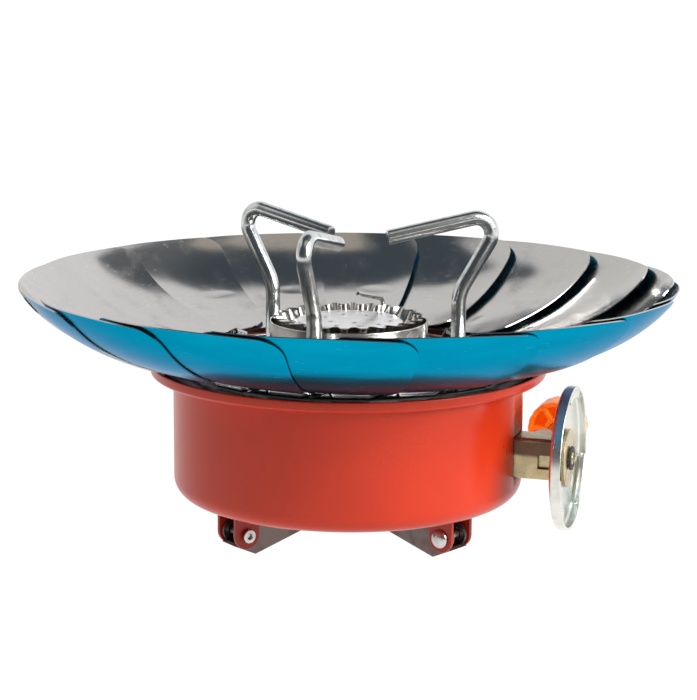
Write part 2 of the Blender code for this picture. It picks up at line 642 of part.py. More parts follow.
def build_hinge_ring():
    """The ring that stands on the cup's shoulder, and the wire on top of it."""
    top = BASE + RING_TOP
    seat = BASE + CUP_WALL_TOP + CUP_SHEET + GAP
    inner_rise = SHOULDER_RISE - CUP_SHEET
    share = (RING_OUTER - CUP_RADIUS + CUP_SHEET) / SHOULDER_REACH
    outer_seat = seat + inner_rise * (1 - math.sqrt(1 - share * share))
    skirt = RING_OUTER - RING_SHEET
    section = [
        (RING_INNER, top - RING_SHEET), (skirt, top - RING_SHEET), (skirt, outer_seat),
        (RING_OUTER, outer_seat), (RING_OUTER, top - RING_SHEET / 2),
        (RING_OUTER - RING_SHEET / 2, top), (RING_INNER, top),
    ]
    add_object("hinge_ring", turned(section, LARGE_COUNT), DARK_STEEL)

    skew = math.radians(HINGE_SKEW)
    path = []
    low = top + GAP + WIRE_RADIUS
    for i in range(PETAL_COUNT):
        place = petal_frame(i)
        for along, height in (
            (-HINGE_HALF - HINGE_DROP_BEFORE, low), (-HINGE_HALF, None), (HINGE_HALF, None),
            (HINGE_HALF + HINGE_DROP_AFTER, low),
        ):
            lift = along * math.sin(skew)
            point = place @ Vector((0, along * math.cos(skew), lift))
            if height is not None:
                point.z = height
            path.append(point)
    add_object("hinge_wire", swept(path, WIRE_RADIUS, FINE_COUNT, closed=True), STAINLESS)


def petal_frame(index):
    """A petal's frame: origin on its hinge, +X outward at the petal's middle."""
    azimuth = PETAL_FIRST + FULL_TURN * index / PETAL_COUNT
    hinge = Vector((HINGE_RADIUS, HINGE_SIDE, BASE + HINGE_HEIGHT))
    return spun(azimuth) @ Matrix.Translation(hinge)


def petal_mesh():
    """One sheet petal with its rounded corners and the tab that hooks on the wire."""
    hinge = Vector((HINGE_RADIUS, HINGE_SIDE, BASE + HINGE_HEIGHT))
    foot, rim = petal_section(0)[0], petal_section(1)[0]
    rows = 6
    bm = bmesh.new()
    grid = []
    for degrees in PETAL_COLUMNS:
        inner = rim * math.radians(degrees + PETAL_INNER_ANGLE)
        outer = rim * math.radians(PETAL_OUTER_ANGLE - degrees)
        drop = corner_drop(inner, PETAL_INNER_CORNER) + corner_drop(outer, PETAL_OUTER_CORNER)
        full = 1 - drop / PETAL_LENGTH
        across = foot * math.radians(degrees + PETAL_INNER_ANGLE)
        first = corner_drop(across, PETAL_FOOT_CORNER) / PETAL_LENGTH
        grid.append([
            bm.verts.new(petal_point(degrees, first + (full - first) * row / rows) - hinge)
            for row in range(rows + 1)
        ])
    for left, right in zip(grid, grid[1:]):
        for row in range(rows):
            bm.faces.new((left[row], right[row], right[row + 1], left[row + 1]))

    skew = math.radians(HINGE_SKEW)
    line = Vector((0, math.cos(skew), math.sin(skew)))
    out = Vector((1, 0, 0))
    over = line.cross(out) * -1
    hook = WIRE_RADIUS + GAP + PETAL_SHEET / 2
    steps = 8
    edge = [grid[column][0] for column in TAB_COLUMNS]
    sides = [v.co.y / math.cos(skew) for v in edge]
    last = edge
    for i in range(steps + 1):
        a = math.radians(90 + HINGE_WRAP * i / steps)
        turn = hook * (math.cos(a) * out + math.sin(a) * over)
        row = [bm.verts.new(line * side + turn) for side in sides]
        bm.faces.new((last[1], last[0], row[0], row[1]))
        last = row
    bmesh.ops.recalc_face_normals(bm, faces=bm.faces)
    bmesh.ops.solidify(bm, geom=bm.faces, thickness=PETAL_SHEET)
    mesh = bpy.data.meshes.new("petal")
    bm.to_mesh(mesh)
    bm.free()
    return mesh


def build_petals():
    """Petals all round, each on its own hinge."""
    mesh = petal_mesh()
    for index in range(PETAL_COUNT):
        add_mesh(f"petal_{index + 1:02d}", mesh, BLUE_STEEL, petal_frame(index))


def build_shield():
    """The dished plate over the cup, with the posts and screws that hold it."""
    under = BASE + RING_TOP + GAP
    top = under + SHIELD_SHEET
    dish = SHIELD_DISH_RADIUS
    hole = TUBE_RADIUS + GAP
    lowered = SHIELD_DISH
    section = [
        (hole, under - lowered), (dish - lowered, under - lowered), (dish, under),
        (SHIELD_RADIUS, under), (SHIELD_RADIUS, top), (dish, top),
        (dish - lowered, top - lowered), (hole, top - lowered),
    ]
    shield = add_object("heat_shield", turned(section, LARGE_COUNT), STAINLESS)
    low, high = under - lowered - OVERRUN, top + OVERRUN
    bush = SUPPORT_WIRE + GAP + BUSH_WALL + GAP
    holes = [
        moved(rod(bush, low, high, SMALL_COUNT),
              spun(a) @ Matrix.Translation((SUPPORT_CIRCLE, 0, 0)))
        for a in SUPPORT_AZIMUTHS
    ]
    holes += [
        moved(rod(SCREW_RADIUS + GAP, low, high, FINE_COUNT),
              spun(a) @ Matrix.Translation((POST_CIRCLE, 0, 0)))
        for a in POST_AZIMUTHS
    ]
    holes.append(moved(rod(INSULATOR_RADIUS + GAP, low, high, SMALL_COUNT),
                       spun(ELECTRODE_AZIMUTH) @ Matrix.Translation((ELECTRODE_CIRCLE, 0, 0))))
    combine(shield, "holes", joined(holes))
    ring = bpy.data.objects["hinge_ring"]
    ring_holes = [
        moved(rod(SCREW_RADIUS + GAP, low, high, FINE_COUNT),
              spun(a) @ Matrix.Translation((POST_CIRCLE, 0, 0)))
        for a in POST_AZIMUTHS
    ]
    combine(ring, "screw_holes", joined(ring_holes))

    post_top = BASE + RING_TOP - RING_SHEET - GAP
    post_foot = BASE + CUP_SHEET + GAP
    bore = post_top - SCREW_LENGTH
    for index, azimuth in enumerate(POST_AZIMUTHS, 1):
        place = spun(azimuth) @ Matrix.Translation((POST_CIRCLE, 0, 0))
        post = turned(
            [(0, post_foot), (POST_RADIUS, post_foot), (POST_RADIUS, post_top),
             (SCREW_RADIUS + GAP, post_top), (SCREW_RADIUS + GAP, bore), (0, bore)],
            SMALL_COUNT,
        )
        add_object(f"shield_post_{index}", post, GREY_ZINC, place)
        seat = top + GAP
        tip = bore + GAP
        rise = SCREW_HEAD_HEIGHT
        screw = turned(
            [(0, tip), (SCREW_RADIUS, tip), (SCREW_RADIUS, seat), (SCREW_HEAD, seat),
             (SCREW_HEAD, seat + rise * 0.5), (SCREW_HEAD * 0.7, seat + rise), (0, seat + rise)],
            SMALL_COUNT,
        )
        add_object(f"shield_screw_{index}", screw, STAINLESS, place)


def support_path():
    """The support wire in its own frame: +X points away from the burner."""
    circle = SUPPORT_CIRCLE
    corners = [
        Vector((0, 0, BASE + SUPPORT_FOOT)),
        Vector((0, 0, BASE + SUPPORT_KINK_HEIGHT)),
        Vector((SUPPORT_BEND_RADIUS - circle, 0, BASE + SUPPORT_BEND_HEIGHT)),
        Vector((SUPPORT_TIP_RADIUS - circle, 0, BASE + SUPPORT_TIP_HEIGHT)),
    ]
    kink = rounded_path(corners[:3], [SUPPORT_KINK], 2)
    bend = rounded_path(corners[1:], [SUPPORT_BEND], 6)
    return kink[:-1] + bend[1:]


def build_support(index, azimuth, swivel):
    """A bent-wire pot support that turns in a flanged bush."""
    place = spun(azimuth) @ Matrix.Translation((SUPPORT_CIRCLE, 0, 0)) @ spun(swivel)
    plate = BASE + RING_TOP + GAP + SHIELD_SHEET - SHIELD_DISH
    support = add_object(f"pot_support_{index}", swept(support_path(), SUPPORT_WIRE, WIRE_COUNT),
                         ZINC_WIRE, place)
    bore = SUPPORT_WIRE + GAP
    wall = bore + BUSH_WALL
    flange = wall + BUSH_FLANGE
    seat = plate + GAP
    flange_top = seat + BUSH_WALL
    bottom = seat - BUSH_LENGTH
    bush = turned(
        [(bore, bottom), (wall, bottom), (wall, seat), (flange, seat), (flange, flange_top - GAP),
         (flange - GAP, flange_top), (bore, flange_top)],
        SMALL_COUNT,
    )
    add_object(f"support_bush_{index}", bush, GREY_ZINC, place)
    grip = SUPPORT_WIRE - GAP
    reach = SUPPORT_WIRE + COLLAR_REACH
    rests = []
    for low in (flange_top + GAP, bottom - GAP - COLLAR_HEIGHT):
        rests.append(turned(
            [(grip, low), (reach, low), (reach, low + COLLAR_HEIGHT), (grip, low + COLLAR_HEIGHT)],
            SMALL_COUNT,
        ))
    combine(support, "collars", joined(rests), "UNION", place)


def build_burner():
    """Injector, mixing tube, cup, pleated strip and cap."""
    floor = BASE + CUP_SHEET + GAP
    foot_top = floor + INJECTOR_FOOT_HEIGHT
    shoulder = BASE + INJECTOR_SHOULDER
    nose = BASE + INJECTOR_NOSE
    injector = add_object("injector", turned(
        [(0, floor), (INJECTOR_FOOT, floor), (INJECTOR_FOOT, foot_top), (INJECTOR_RADIUS, foot_top),
         (INJECTOR_RADIUS, shoulder), (INJECTOR_NOSE_RADIUS, nose), (JET_RADIUS, nose),
         (JET_RADIUS, shoulder), (0, shoulder)],
        MEDIUM_COUNT,
    ), BRASS)
    inlet = rod(GAS_TUBE_RADIUS + GAP, INJECTOR_RADIUS / 2, INJECTOR_RADIUS + OVERRUN, FINE_COUNT)
    combine(injector, "inlet", moved(inlet, about_x(BASE + CONNECTOR_HEIGHT - GAS_TUBE_DIP)))

    shield_top = BASE + RING_TOP + GAP + SHIELD_SHEET - SHIELD_DISH
    flange = shield_top + GAP
    wall = TUBE_WALL
    bottom = BASE + TUBE_BOTTOM
    throat = bottom + (flange - bottom) * TUBE_WAIST
    add_object("mixing_tube", turned(
        [(TUBE_RADIUS - wall, bottom), (TUBE_RADIUS, bottom), (TUBE_THROAT + wall, throat),
         (TUBE_RADIUS, flange - 2 * wall), (TUBE_RADIUS, flange), (TUBE_FLANGE, flange),
         (TUBE_FLANGE, flange + wall), (TUBE_RADIUS - wall, flange + wall),
         (TUBE_RADIUS - wall, flange - 2 * wall), (TUBE_THROAT, throat)],
        MEDIUM_COUNT,
    ), BRASS)

    seat = flange + wall + GAP
    sheet = BURNER_SHEET
    rim = BASE + BURNER_TOP
    fillet = BURNER_FILLET
    centre = (BURNER_RADIUS - fillet, seat + fillet)
    inner = fillet - sheet
    section = [(TUBE_RADIUS - wall, seat)] + arc(centre, (fillet, fillet), -90, 0, 3)
    section += [(BURNER_RADIUS, rim), (BURNER_RADIUS - sheet, rim)]
    section += arc(centre, (inner, inner), 0, -90, 3) + [(TUBE_RADIUS - wall, seat + sheet)]
    add_object("burner_cup", turned(section, LARGE_COUNT), STAINLESS)

    add_object("burner_pleats", pleats(), STAINLESS)

    cap_low = seat + sheet + GAP
    stem = CAP_RADIUS * CAP_STEM
    turn = (CAP_RADIUS - CAP_SHOULDER, BASE + CAP_TOP - CAP_SHOULDER)
    under = CAP_SHOULDER - CAP_SHEET
    skirt = BASE + CAP_BOTTOM
    section = arc(turn, (CAP_SHOULDER, CAP_SHOULDER), QUARTER_TURN, 0, 3)
    section += [(CAP_RADIUS, skirt), (stem, cap_low)]
    section += [(stem - CAP_SHEET, cap_low), (CAP_RADIUS - CAP_SHEET, skirt + CAP_SHEET / 2)]
    section += arc(turn, (under, under), 0, QUARTER_TURN, 2) + [(0, BASE + CAP_TOP - CAP_SHEET)]
    cap = add_object("burner_cap", turned([(0, BASE + CAP_TOP)] + section, LARGE_COUNT), STAINLESS)
    holes = []
    for share, count in zip(CAP_HOLE_SHARES, CAP_HOLE_COUNTS):
        for i in range(count):
            hole = rod(CAP_HOLE, BASE + CAP_TOP - CAP_SHEET - OVERRUN, BASE + CAP_TOP + OVERRUN,
                       FINE_COUNT)
            holes.append(moved(hole, spun(FULL_TURN * i / count)
                               @ Matrix.Translation((share * CAP_RADIUS, 0, 0))))
    combine(cap, "ports", joined(holes))


def pleats():
    """The corrugated strip whose folds leave the flame ports."""
    samples = 4
    count = PLEAT_COUNT * samples
    rows = []
    bm = bmesh.new()
    for side in (-1, 1):
        for level in (0, 1):
            ring = []
            for i in range(count):
                a = math.tau * i / count
                wave = math.cos(PLEAT_COUNT * a + math.pi / samples) * math.sqrt(2)
                top = (PLEAT_OUTER + PLEAT_INNER) / 2 + wave * (PLEAT_OUTER - PLEAT_INNER) / 2
                low = PLEAT_ROOT + wave * PLEAT_ROOT_WAVE
                radius = (top if level else low) + side * PLEAT_SHEET
                height = BASE + (PLEAT_TOP if level else PLEAT_BOTTOM)
                ring.append(bm.verts.new((radius * math.cos(a), radius * math.sin(a), height)))
            rows.append(ring)
    inner_low, inner_top, outer_low, outer_top = rows
    for a, b in ((inner_low, inner_top), (inner_top, outer_top), (outer_top, outer_low),
                 (outer_low, inner_low)):
        for i in range(count):
            k = (i + 1) % count
            bm.faces.new((a[i], a[k], b[k], b[i]))
    bmesh.ops.recalc_face_normals(bm, faces=bm.faces)
    return bm


def sleeve_outline(grow):
    """The connector sleeve's rounded section, seen along the connector."""
    half_tall, half_wide = SLEEVE_TALL / 2 + grow, SLEEVE_WIDE / 2 + grow
    corner = max(SLEEVE_CORNER + grow, GAP)
    points = []
    for side, sx, sy in ((0, 1, 1), (1, -1, 1), (2, -1, -1), (3, 1, -1)):
        start = side * QUARTER_TURN
        centre = (sx * (half_tall - corner), sy * (half_wide - corner))
        points += arc(centre, (corner, corner), start, start + QUARTER_TURN, 3)
    return points


def build_connector():
    """Sleeve, valve, probe and the cup that the cartridge's collar locks into."""
    height = BASE + CONNECTOR_HEIGHT
    lay = about_x(height)
    sleeve = add_object("connector_sleeve", moved(prism(sleeve_outline(0), SLEEVE_START, SLEEVE_END), lay),
                        YELLOW_ZINC)
    hollow = prism(sleeve_outline(-SLEEVE_WALL), SLEEVE_START - OVERRUN, SLEEVE_END + OVERRUN)
    combine(sleeve, "hollow", moved(hollow, lay))
    side = Matrix.Translation((SPINDLE_AT, 0, height)) @ Matrix.Rotation(math.radians(-90), 4, "X")
    gland = rod(GLAND_RADIUS + GAP, SLEEVE_WIDE / 4, SLEEVE_WIDE, SMALL_COUNT)
    combine(sleeve, "gland_hole", moved(gland, side))
    window = SLEEVE_WINDOW / 2
    frame = [(-window, -window), (window, -window), (window, window), (-window, window)]
    opening = Matrix.Translation((SLEEVE_WINDOW_AT, 0, height - SLEEVE_WINDOW_DROP)) \
        @ Matrix.Rotation(math.radians(90), 4, "X")
    combine(sleeve, "window", moved(prism(frame, SLEEVE_WIDE / 4, SLEEVE_WIDE), opening))

    body = prism(sleeve_outline(-SLEEVE_WALL - GAP), VALVE_START, VALVE_END)
    valve = add_object("valve_body", moved(body, lay), BRASS)
    boss = rod(GLAND_RADIUS, 0, GLAND_END, SMALL_COUNT)
    combine(valve, "gland", moved(boss, side), "UNION")
    bore = rod(SPINDLE_RADIUS + GAP, SPINDLE_FIRST - GAP, GLAND_END + OVERRUN, SMALL_COUNT)
    combine(valve, "spindle_bore", moved(bore, side))
    outlet = rod(GAS_TUBE_RADIUS + GAP, VALVE_START - OVERRUN, VALVE_START + OVERRUN, FINE_COUNT)
    combine(valve, "outlet", moved(outlet, lay))
    seat = rod(PROBE_RADIUS - SEAL_WALL + GAP, VALVE_END - OVERRUN, VALVE_END + OVERRUN, SMALL_COUNT)
    combine(valve, "probe_seat", moved(seat, lay))

    back = SLEEVE_END + GAP
    sheet = COLLAR_CUP_SHEET
    front = back + COLLAR_CUP_DEPTH
    rim = COLLAR_CUP_RADIUS
    mouth = PROBE_RADIUS + GAP
    corner = COLLAR_CORNER * sheet
    section = [(mouth, back), (rim - corner, back), (rim, back + corner), (rim, front),
               (rim - sheet, front), (rim - sheet, back + corner), (rim - corner, back + sheet),
               (mouth, back + sheet)]
    collar = add_object("collar_cup", moved(turned(section, LARGE_COUNT), lay), GREY_ZINC)
    lugs = []
    for i in range(LUG_COUNT):
        start = LUG_FIRST + FULL_TURN * i / LUG_COUNT
        outer = arc((0, 0), (rim - sheet / 2, rim - sheet / 2), start, start + LUG_ANGLE, 6)
        inner = arc((0, 0), (rim - LUG_REACH, rim - LUG_REACH), start + LUG_ANGLE, start, 6)
        lugs.append(prism(outer + inner, front - sheet, front - sheet / 8))
    combine(collar, "lugs", moved(joined(lugs), lay), "UNION")

    root = PROBE_RADIUS - SEAL_WALL
    flange = back + sheet + GAP
    low = flange + PROBE_FLANGE_SHEET + GAP
    nose = low + SEAL_HEIGHT
    probe = turned(
        [(0, VALVE_END - OVERRUN + GAP), (root, VALVE_END - OVERRUN + GAP), (root, VALVE_END + GAP),
         (PROBE_RADIUS, VALVE_END + GAP), (PROBE_RADIUS, flange),
         (PROBE_FLANGE, flange), (PROBE_FLANGE, flange + PROBE_FLANGE_SHEET),
         (root, flange + PROBE_FLANGE_SHEET), (root, nose), (PROBE_PIN, nose),
         (PROBE_PIN, nose + PROBE_PIN_REACH), (0, nose + PROBE_PIN_REACH)],
        SMALL_COUNT,
    )
    add_object("cartridge_probe", moved(probe, lay), YELLOW_ZINC)
    seal = turned(
        [(root + GAP, low), (PROBE_RADIUS, low), (PROBE_RADIUS, nose), (root + GAP, nose)],
        SMALL_COUNT,
    )
    add_object("cartridge_seal", moved(seal, lay), BLACK_RUBBER)

    spindle_end = KNOB_BACK + KNOB_DEPTH - KNOB_FACE - GAP
    frame = side
    spindle = turned(
        [(0, SPINDLE_FIRST), (SPINDLE_RADIUS, SPINDLE_FIRST + SPINDLE_RADIUS),
         (SPINDLE_RADIUS, spindle_end), (0, spindle_end)],
        SMALL_COUNT,
    )
    add_object("valve_spindle", spindle, BRASS, frame)
    build_knob(frame)


def build_knob(frame):
    """The fluted knob, hollow and spoked on the side that faces the connector."""
    high = KNOB_BACK + KNOB_DEPTH
    outline = []
    for i in range(KNOB_FLUTE_COUNT * 2):
        a = math.tau * i / (KNOB_FLUTE_COUNT * 2)
        radius = KNOB_RADIUS - (KNOB_FLUTE_DEPTH if i % 2 else 0)
        outline.append((radius * math.cos(a), radius * math.sin(a)))
    bm = prism(outline, KNOB_BACK, high)
    rim = [e for e in bm.edges if all(abs(v.co.z - high) < MERGE for v in e.verts)]
    bmesh.ops.bevel(bm, geom=rim, offset=KNOB_FLUTE_DEPTH, segments=1, affect="EDGES")
    knob = add_object("knob", bm, ORANGE_PLASTIC, frame)
    outer = KNOB_RADIUS - KNOB_WALL
    pockets = []
    for i in range(KNOB_SPOKE_COUNT):
        sector = FULL_TURN / KNOB_SPOKE_COUNT
        slant = math.degrees(KNOB_SPOKE / 2 / outer)
        hub_slant = math.degrees(KNOB_SPOKE / 2 / KNOB_HUB)
        start = sector * i
        rim_arc = arc((0, 0), (outer, outer), start + slant, start + sector - slant, 4)
        hub_arc = arc((0, 0), (KNOB_HUB, KNOB_HUB), start + sector - hub_slant, start + hub_slant, 2)
        pockets.append(prism(rim_arc + hub_arc, KNOB_BACK - OVERRUN, high - KNOB_FACE))
    combine(knob, "pockets", joined(pockets), place=frame)
    bore = rod(SPINDLE_RADIUS + GAP, KNOB_BACK - OVERRUN, high - KNOB_FACE, SMALL_COUNT)
    combine(knob, "bore", bore, place=frame)


def build_gas_tube():
    """The bent tube from the valve to the injector."""
    high = BASE + CONNECTOR_HEIGHT
    low = high - GAS_TUBE_DIP
    middle = (VALVE_START + INJECTOR_RADIUS) / 2
    bend = GAS_TUBE_BEND
    corners = [
        Vector((VALVE_START + OVERRUN - GAP, 0, high)),
        Vector((middle + bend, 0, high)),
        Vector((middle - bend, 0, low)),
        Vector((INJECTOR_RADIUS / 2 + GAP, 0, low)),
    ]
    first = rounded_path(corners[:3], [2 * bend], 3)
    second = rounded_path(corners[1:], [2 * bend], 3)
    add_object("gas_tube", swept(first[:-1] + second[1:], GAS_TUBE_RADIUS, WIRE_COUNT), COPPER)


def build_igniter():
    """Spark generator, its button, the lead, the insulator and the electrode."""
    height = BASE + PIEZO_HEIGHT
    place = facing(PIEZO_AZIMUTH, height)
    inside = CUP_RADIUS - CUP_SHEET
    front = inside * math.cos(math.asin(PIEZO_FLANGE / inside)) - GAP
    bore = BUTTON_RADIUS + GAP
    floor = front - PIEZO_BORE_DEPTH
    body = turned(
        [(0, PIEZO_BACK), (PIEZO_RADIUS, PIEZO_BACK), (PIEZO_RADIUS, front - PIEZO_FLANGE_SHEET),
         (PIEZO_FLANGE, front - PIEZO_FLANGE_SHEET), (PIEZO_FLANGE, front), (bore, front),
         (bore, floor), (0, floor)],
        MEDIUM_COUNT,
    )
    add_object("piezo_body", body, BLACK_PLASTIC, place)
    end = CUP_RADIUS + BUTTON_REACH
    button = turned(
        [(0, floor + BUTTON_TRAVEL + GAP), (BUTTON_RADIUS, floor + BUTTON_TRAVEL + GAP),
         (BUTTON_RADIUS, end - BUTTON_BEVEL), (BUTTON_RADIUS - BUTTON_BEVEL, end), (0, end)],
        MEDIUM_COUNT,
    )
    add_object("piezo_button", button, BLACK_PLASTIC, place)

    shield_top = BASE + RING_TOP + GAP + SHIELD_SHEET - SHIELD_DISH
    seat = shield_top + GAP
    stand = spun(ELECTRODE_AZIMUTH) @ Matrix.Translation((ELECTRODE_CIRCLE, 0, 0))
    core = ELECTRODE_RADIUS + GAP
    insulator = turned(
        [(core, BASE + INSULATOR_BOTTOM), (INSULATOR_RADIUS, BASE + INSULATOR_BOTTOM),
         (INSULATOR_RADIUS, seat), (INSULATOR_FLANGE, seat),
         (INSULATOR_FLANGE, seat + INSULATOR_FLANGE_SHEET),
         (INSULATOR_RADIUS, seat + INSULATOR_FLANGE_SHEET), (INSULATOR_RADIUS, BASE + INSULATOR_TOP),
         (core, BASE + INSULATOR_TOP)],
        SMALL_COUNT,
    )
    add_object("electrode_insulator", insulator, CERAMIC, stand)
    shoulder = polar(ELECTRODE_CIRCLE, ELECTRODE_AZIMUTH, BASE + ELECTRODE_SHOULDER)
    foot = polar(ELECTRODE_CIRCLE, ELECTRODE_AZIMUTH, BASE + ELECTRODE_FOOT)
    tip = polar(ELECTRODE_TIP_RADIUS, ELECTRODE_AZIMUTH, BASE + ELECTRODE_TIP_HEIGHT)
    path = rounded_path([foot, shoulder, tip], [4 * ELECTRODE_RADIUS], 4)
    add_object("electrode", swept(path, ELECTRODE_RADIUS, FINE_COUNT), STAINLESS)

    start = polar(PIEZO_BACK - GAP, PIEZO_AZIMUTH, height)
    turn_in = polar(PIEZO_BACK - 2 * LEAD_BEND, PIEZO_AZIMUTH, height)
    below = polar(ELECTRODE_CIRCLE, ELECTRODE_AZIMUTH, height + LEAD_BEND)
    end_point = polar(ELECTRODE_CIRCLE, ELECTRODE_AZIMUTH, BASE + INSULATOR_BOTTOM - GAP)
    lead = rounded_path([start, turn_in, below], [LEAD_BEND], 3)[:-1]
    lead += rounded_path([turn_in, below, end_point], [LEAD_BEND], 3)[1:]
    add_object("ignition_lead", swept(lead, LEAD_RADIUS, FINE_COUNT), BLACK_RUBBER)


build_cup()
for number, direction in enumerate(FOOT_AZIMUTHS, 1):
    build_foot(number, direction)
build_hinge_ring()
build_petals()
build_shield()
for number, direction in enumerate(SUPPORT_AZIMUTHS, 1):
    build_support(number, direction, SUPPORT_SWIVELS[number - 1])
build_burner()
build_connector()
build_gas_tube()
build_igniter()
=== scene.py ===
"""Looks of a folding camping gas stove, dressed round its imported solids.

Metres, +Z up, the ground under the burner at the origin and the cartridge connector along +X.
"""
import json
import logging
import math
from dataclasses import dataclass, field
from enum import Enum, IntEnum

import bmesh
import bpy
from mathutils import Matrix, Vector


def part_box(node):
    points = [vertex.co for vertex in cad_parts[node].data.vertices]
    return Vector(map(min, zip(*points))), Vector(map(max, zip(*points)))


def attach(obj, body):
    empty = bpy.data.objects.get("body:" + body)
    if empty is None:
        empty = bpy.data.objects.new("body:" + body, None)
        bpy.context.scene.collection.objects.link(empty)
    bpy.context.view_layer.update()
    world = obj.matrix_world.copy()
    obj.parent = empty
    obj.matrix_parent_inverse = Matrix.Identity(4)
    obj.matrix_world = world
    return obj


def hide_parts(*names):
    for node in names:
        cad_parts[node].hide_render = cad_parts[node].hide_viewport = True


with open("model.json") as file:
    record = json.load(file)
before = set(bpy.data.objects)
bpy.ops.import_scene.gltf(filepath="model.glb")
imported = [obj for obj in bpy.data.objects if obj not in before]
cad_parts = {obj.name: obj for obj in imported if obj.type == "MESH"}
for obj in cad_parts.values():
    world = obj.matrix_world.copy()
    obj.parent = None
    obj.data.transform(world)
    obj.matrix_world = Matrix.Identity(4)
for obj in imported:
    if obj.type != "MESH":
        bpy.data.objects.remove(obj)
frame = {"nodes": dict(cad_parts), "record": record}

LOG = logging.getLogger("stove")
MM = 0.001
GAP = 0.3 * MM  # between pieces that touch on the real stove
OVERRUN = 2 * MM  # of a cutter past the face that it cuts
MERGE = 0.001 * MM
EDGE = 0.2 * MM  # rounding of turned pieces
SOFT_EDGE = 0.3 * MM  # rounding of plated and moulded ones
CORNER_SHARE = 0.45  # of a side that one rounded corner may take
NEARLY_FLAT = math.radians(160)  # corners flatter than this aren't rounded
SHARP = math.radians(32)  # edges that turn by more stay sharp
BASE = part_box("housing")[0].z  # underside of the cup
UPRIGHT = Matrix.Rotation(math.radians(90), 4, "X")
Point = tuple[float, float]
Colour = tuple[float, float, float]


class Slot(Enum):
    """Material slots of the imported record."""

    RED_PAINT = "red_paint"
    BLUE_STEEL = "blue_steel"
    STAINLESS = "stainless"
    ZINC_WIRE = "zinc_wire"
    YELLOW_ZINC = "yellow_zinc"
    GREY_ZINC = "grey_zinc"
    DARK_STEEL = "dark_steel"
    BRASS = "brass"
    COPPER = "copper"
    ORANGE_PLASTIC = "orange_plastic"
    BLACK_RUBBER = "black_rubber"
    BLACK_PLASTIC = "black_plastic"
    CERAMIC = "ceramic"


class Face(IntEnum):
    """Material places of a petal's mesh."""

    INSIDE = 0
    OUTSIDE = 1
    EDGE = 2


class Turn(IntEnum):
    """How many steps go round a turned form, by its size."""

    PORT = 16
    HOLE = 24
    PIN = 32
    VENT = 36
    BUSH = 40
    STUB = 48
    NECK = 64
    PLATE = 160
    CUP = 200


class Signal:
    """A shader socket that turns arithmetic into Math nodes."""

    def __init__(self, tree: bpy.types.NodeTree, socket: bpy.types.NodeSocket) -> None:
        """Wrap an output socket of a node tree."""
        self.tree = tree
        self.socket = socket

    def maths(self, operation: str, *values: "Signal | float") -> "Signal":
        """Add a Math node for an operation on signals or numbers."""
        work = Recipe(self.tree)
        return work.output(work.add("Math", {"operation": operation}, dict(enumerate(values))))

    def __add__(self, other: "Signal | float") -> "Signal":
        """Sum of two signals."""
        return self.maths("ADD", self, other)

    def __sub__(self, other: "Signal | float") -> "Signal":
        """Difference of two signals."""
        return self.maths("SUBTRACT", self, other)

    def __rsub__(self, other: float) -> "Signal":
        """Difference of a number and this signal."""
        return self.maths("SUBTRACT", other, self)

    def __mul__(self, other: "Signal | float") -> "Signal":
        """Product of two signals."""
        return self.maths("MULTIPLY", self, other)

    def __truediv__(self, other: "Signal | float") -> "Signal":
        """Quotient of two signals."""
        return self.maths("DIVIDE", self, other)

    def __rtruediv__(self, other: float) -> "Signal":
        """Quotient of a number and this signal."""
        return self.maths("DIVIDE", other, self)

    __radd__ = __add__
    __rmul__ = __mul__

    def step(self, low: float, high: float) -> "Signal":
        """Rise smoothly from 0 to 1 between two levels, or fall if low is the higher.

        Args:
            low: The level that gives 0.
            high: The level that gives 1.

        Returns:
            The step's signal.
        """
        work = Recipe(self.tree)
        node = work.add("MapRange", {"interpolation_type": "SMOOTHSTEP"},
                        {"Value": self, "From Min": low, "From Max": high})
        return work.output(node, "Result")

    def band(self, low: float, high: float, soft: float) -> "Signal":
        """Give 1 between two levels and 0 outside them, over a soft half width."""
        return self.step(low - soft, low + soft) * self.step(high + soft, high - soft)


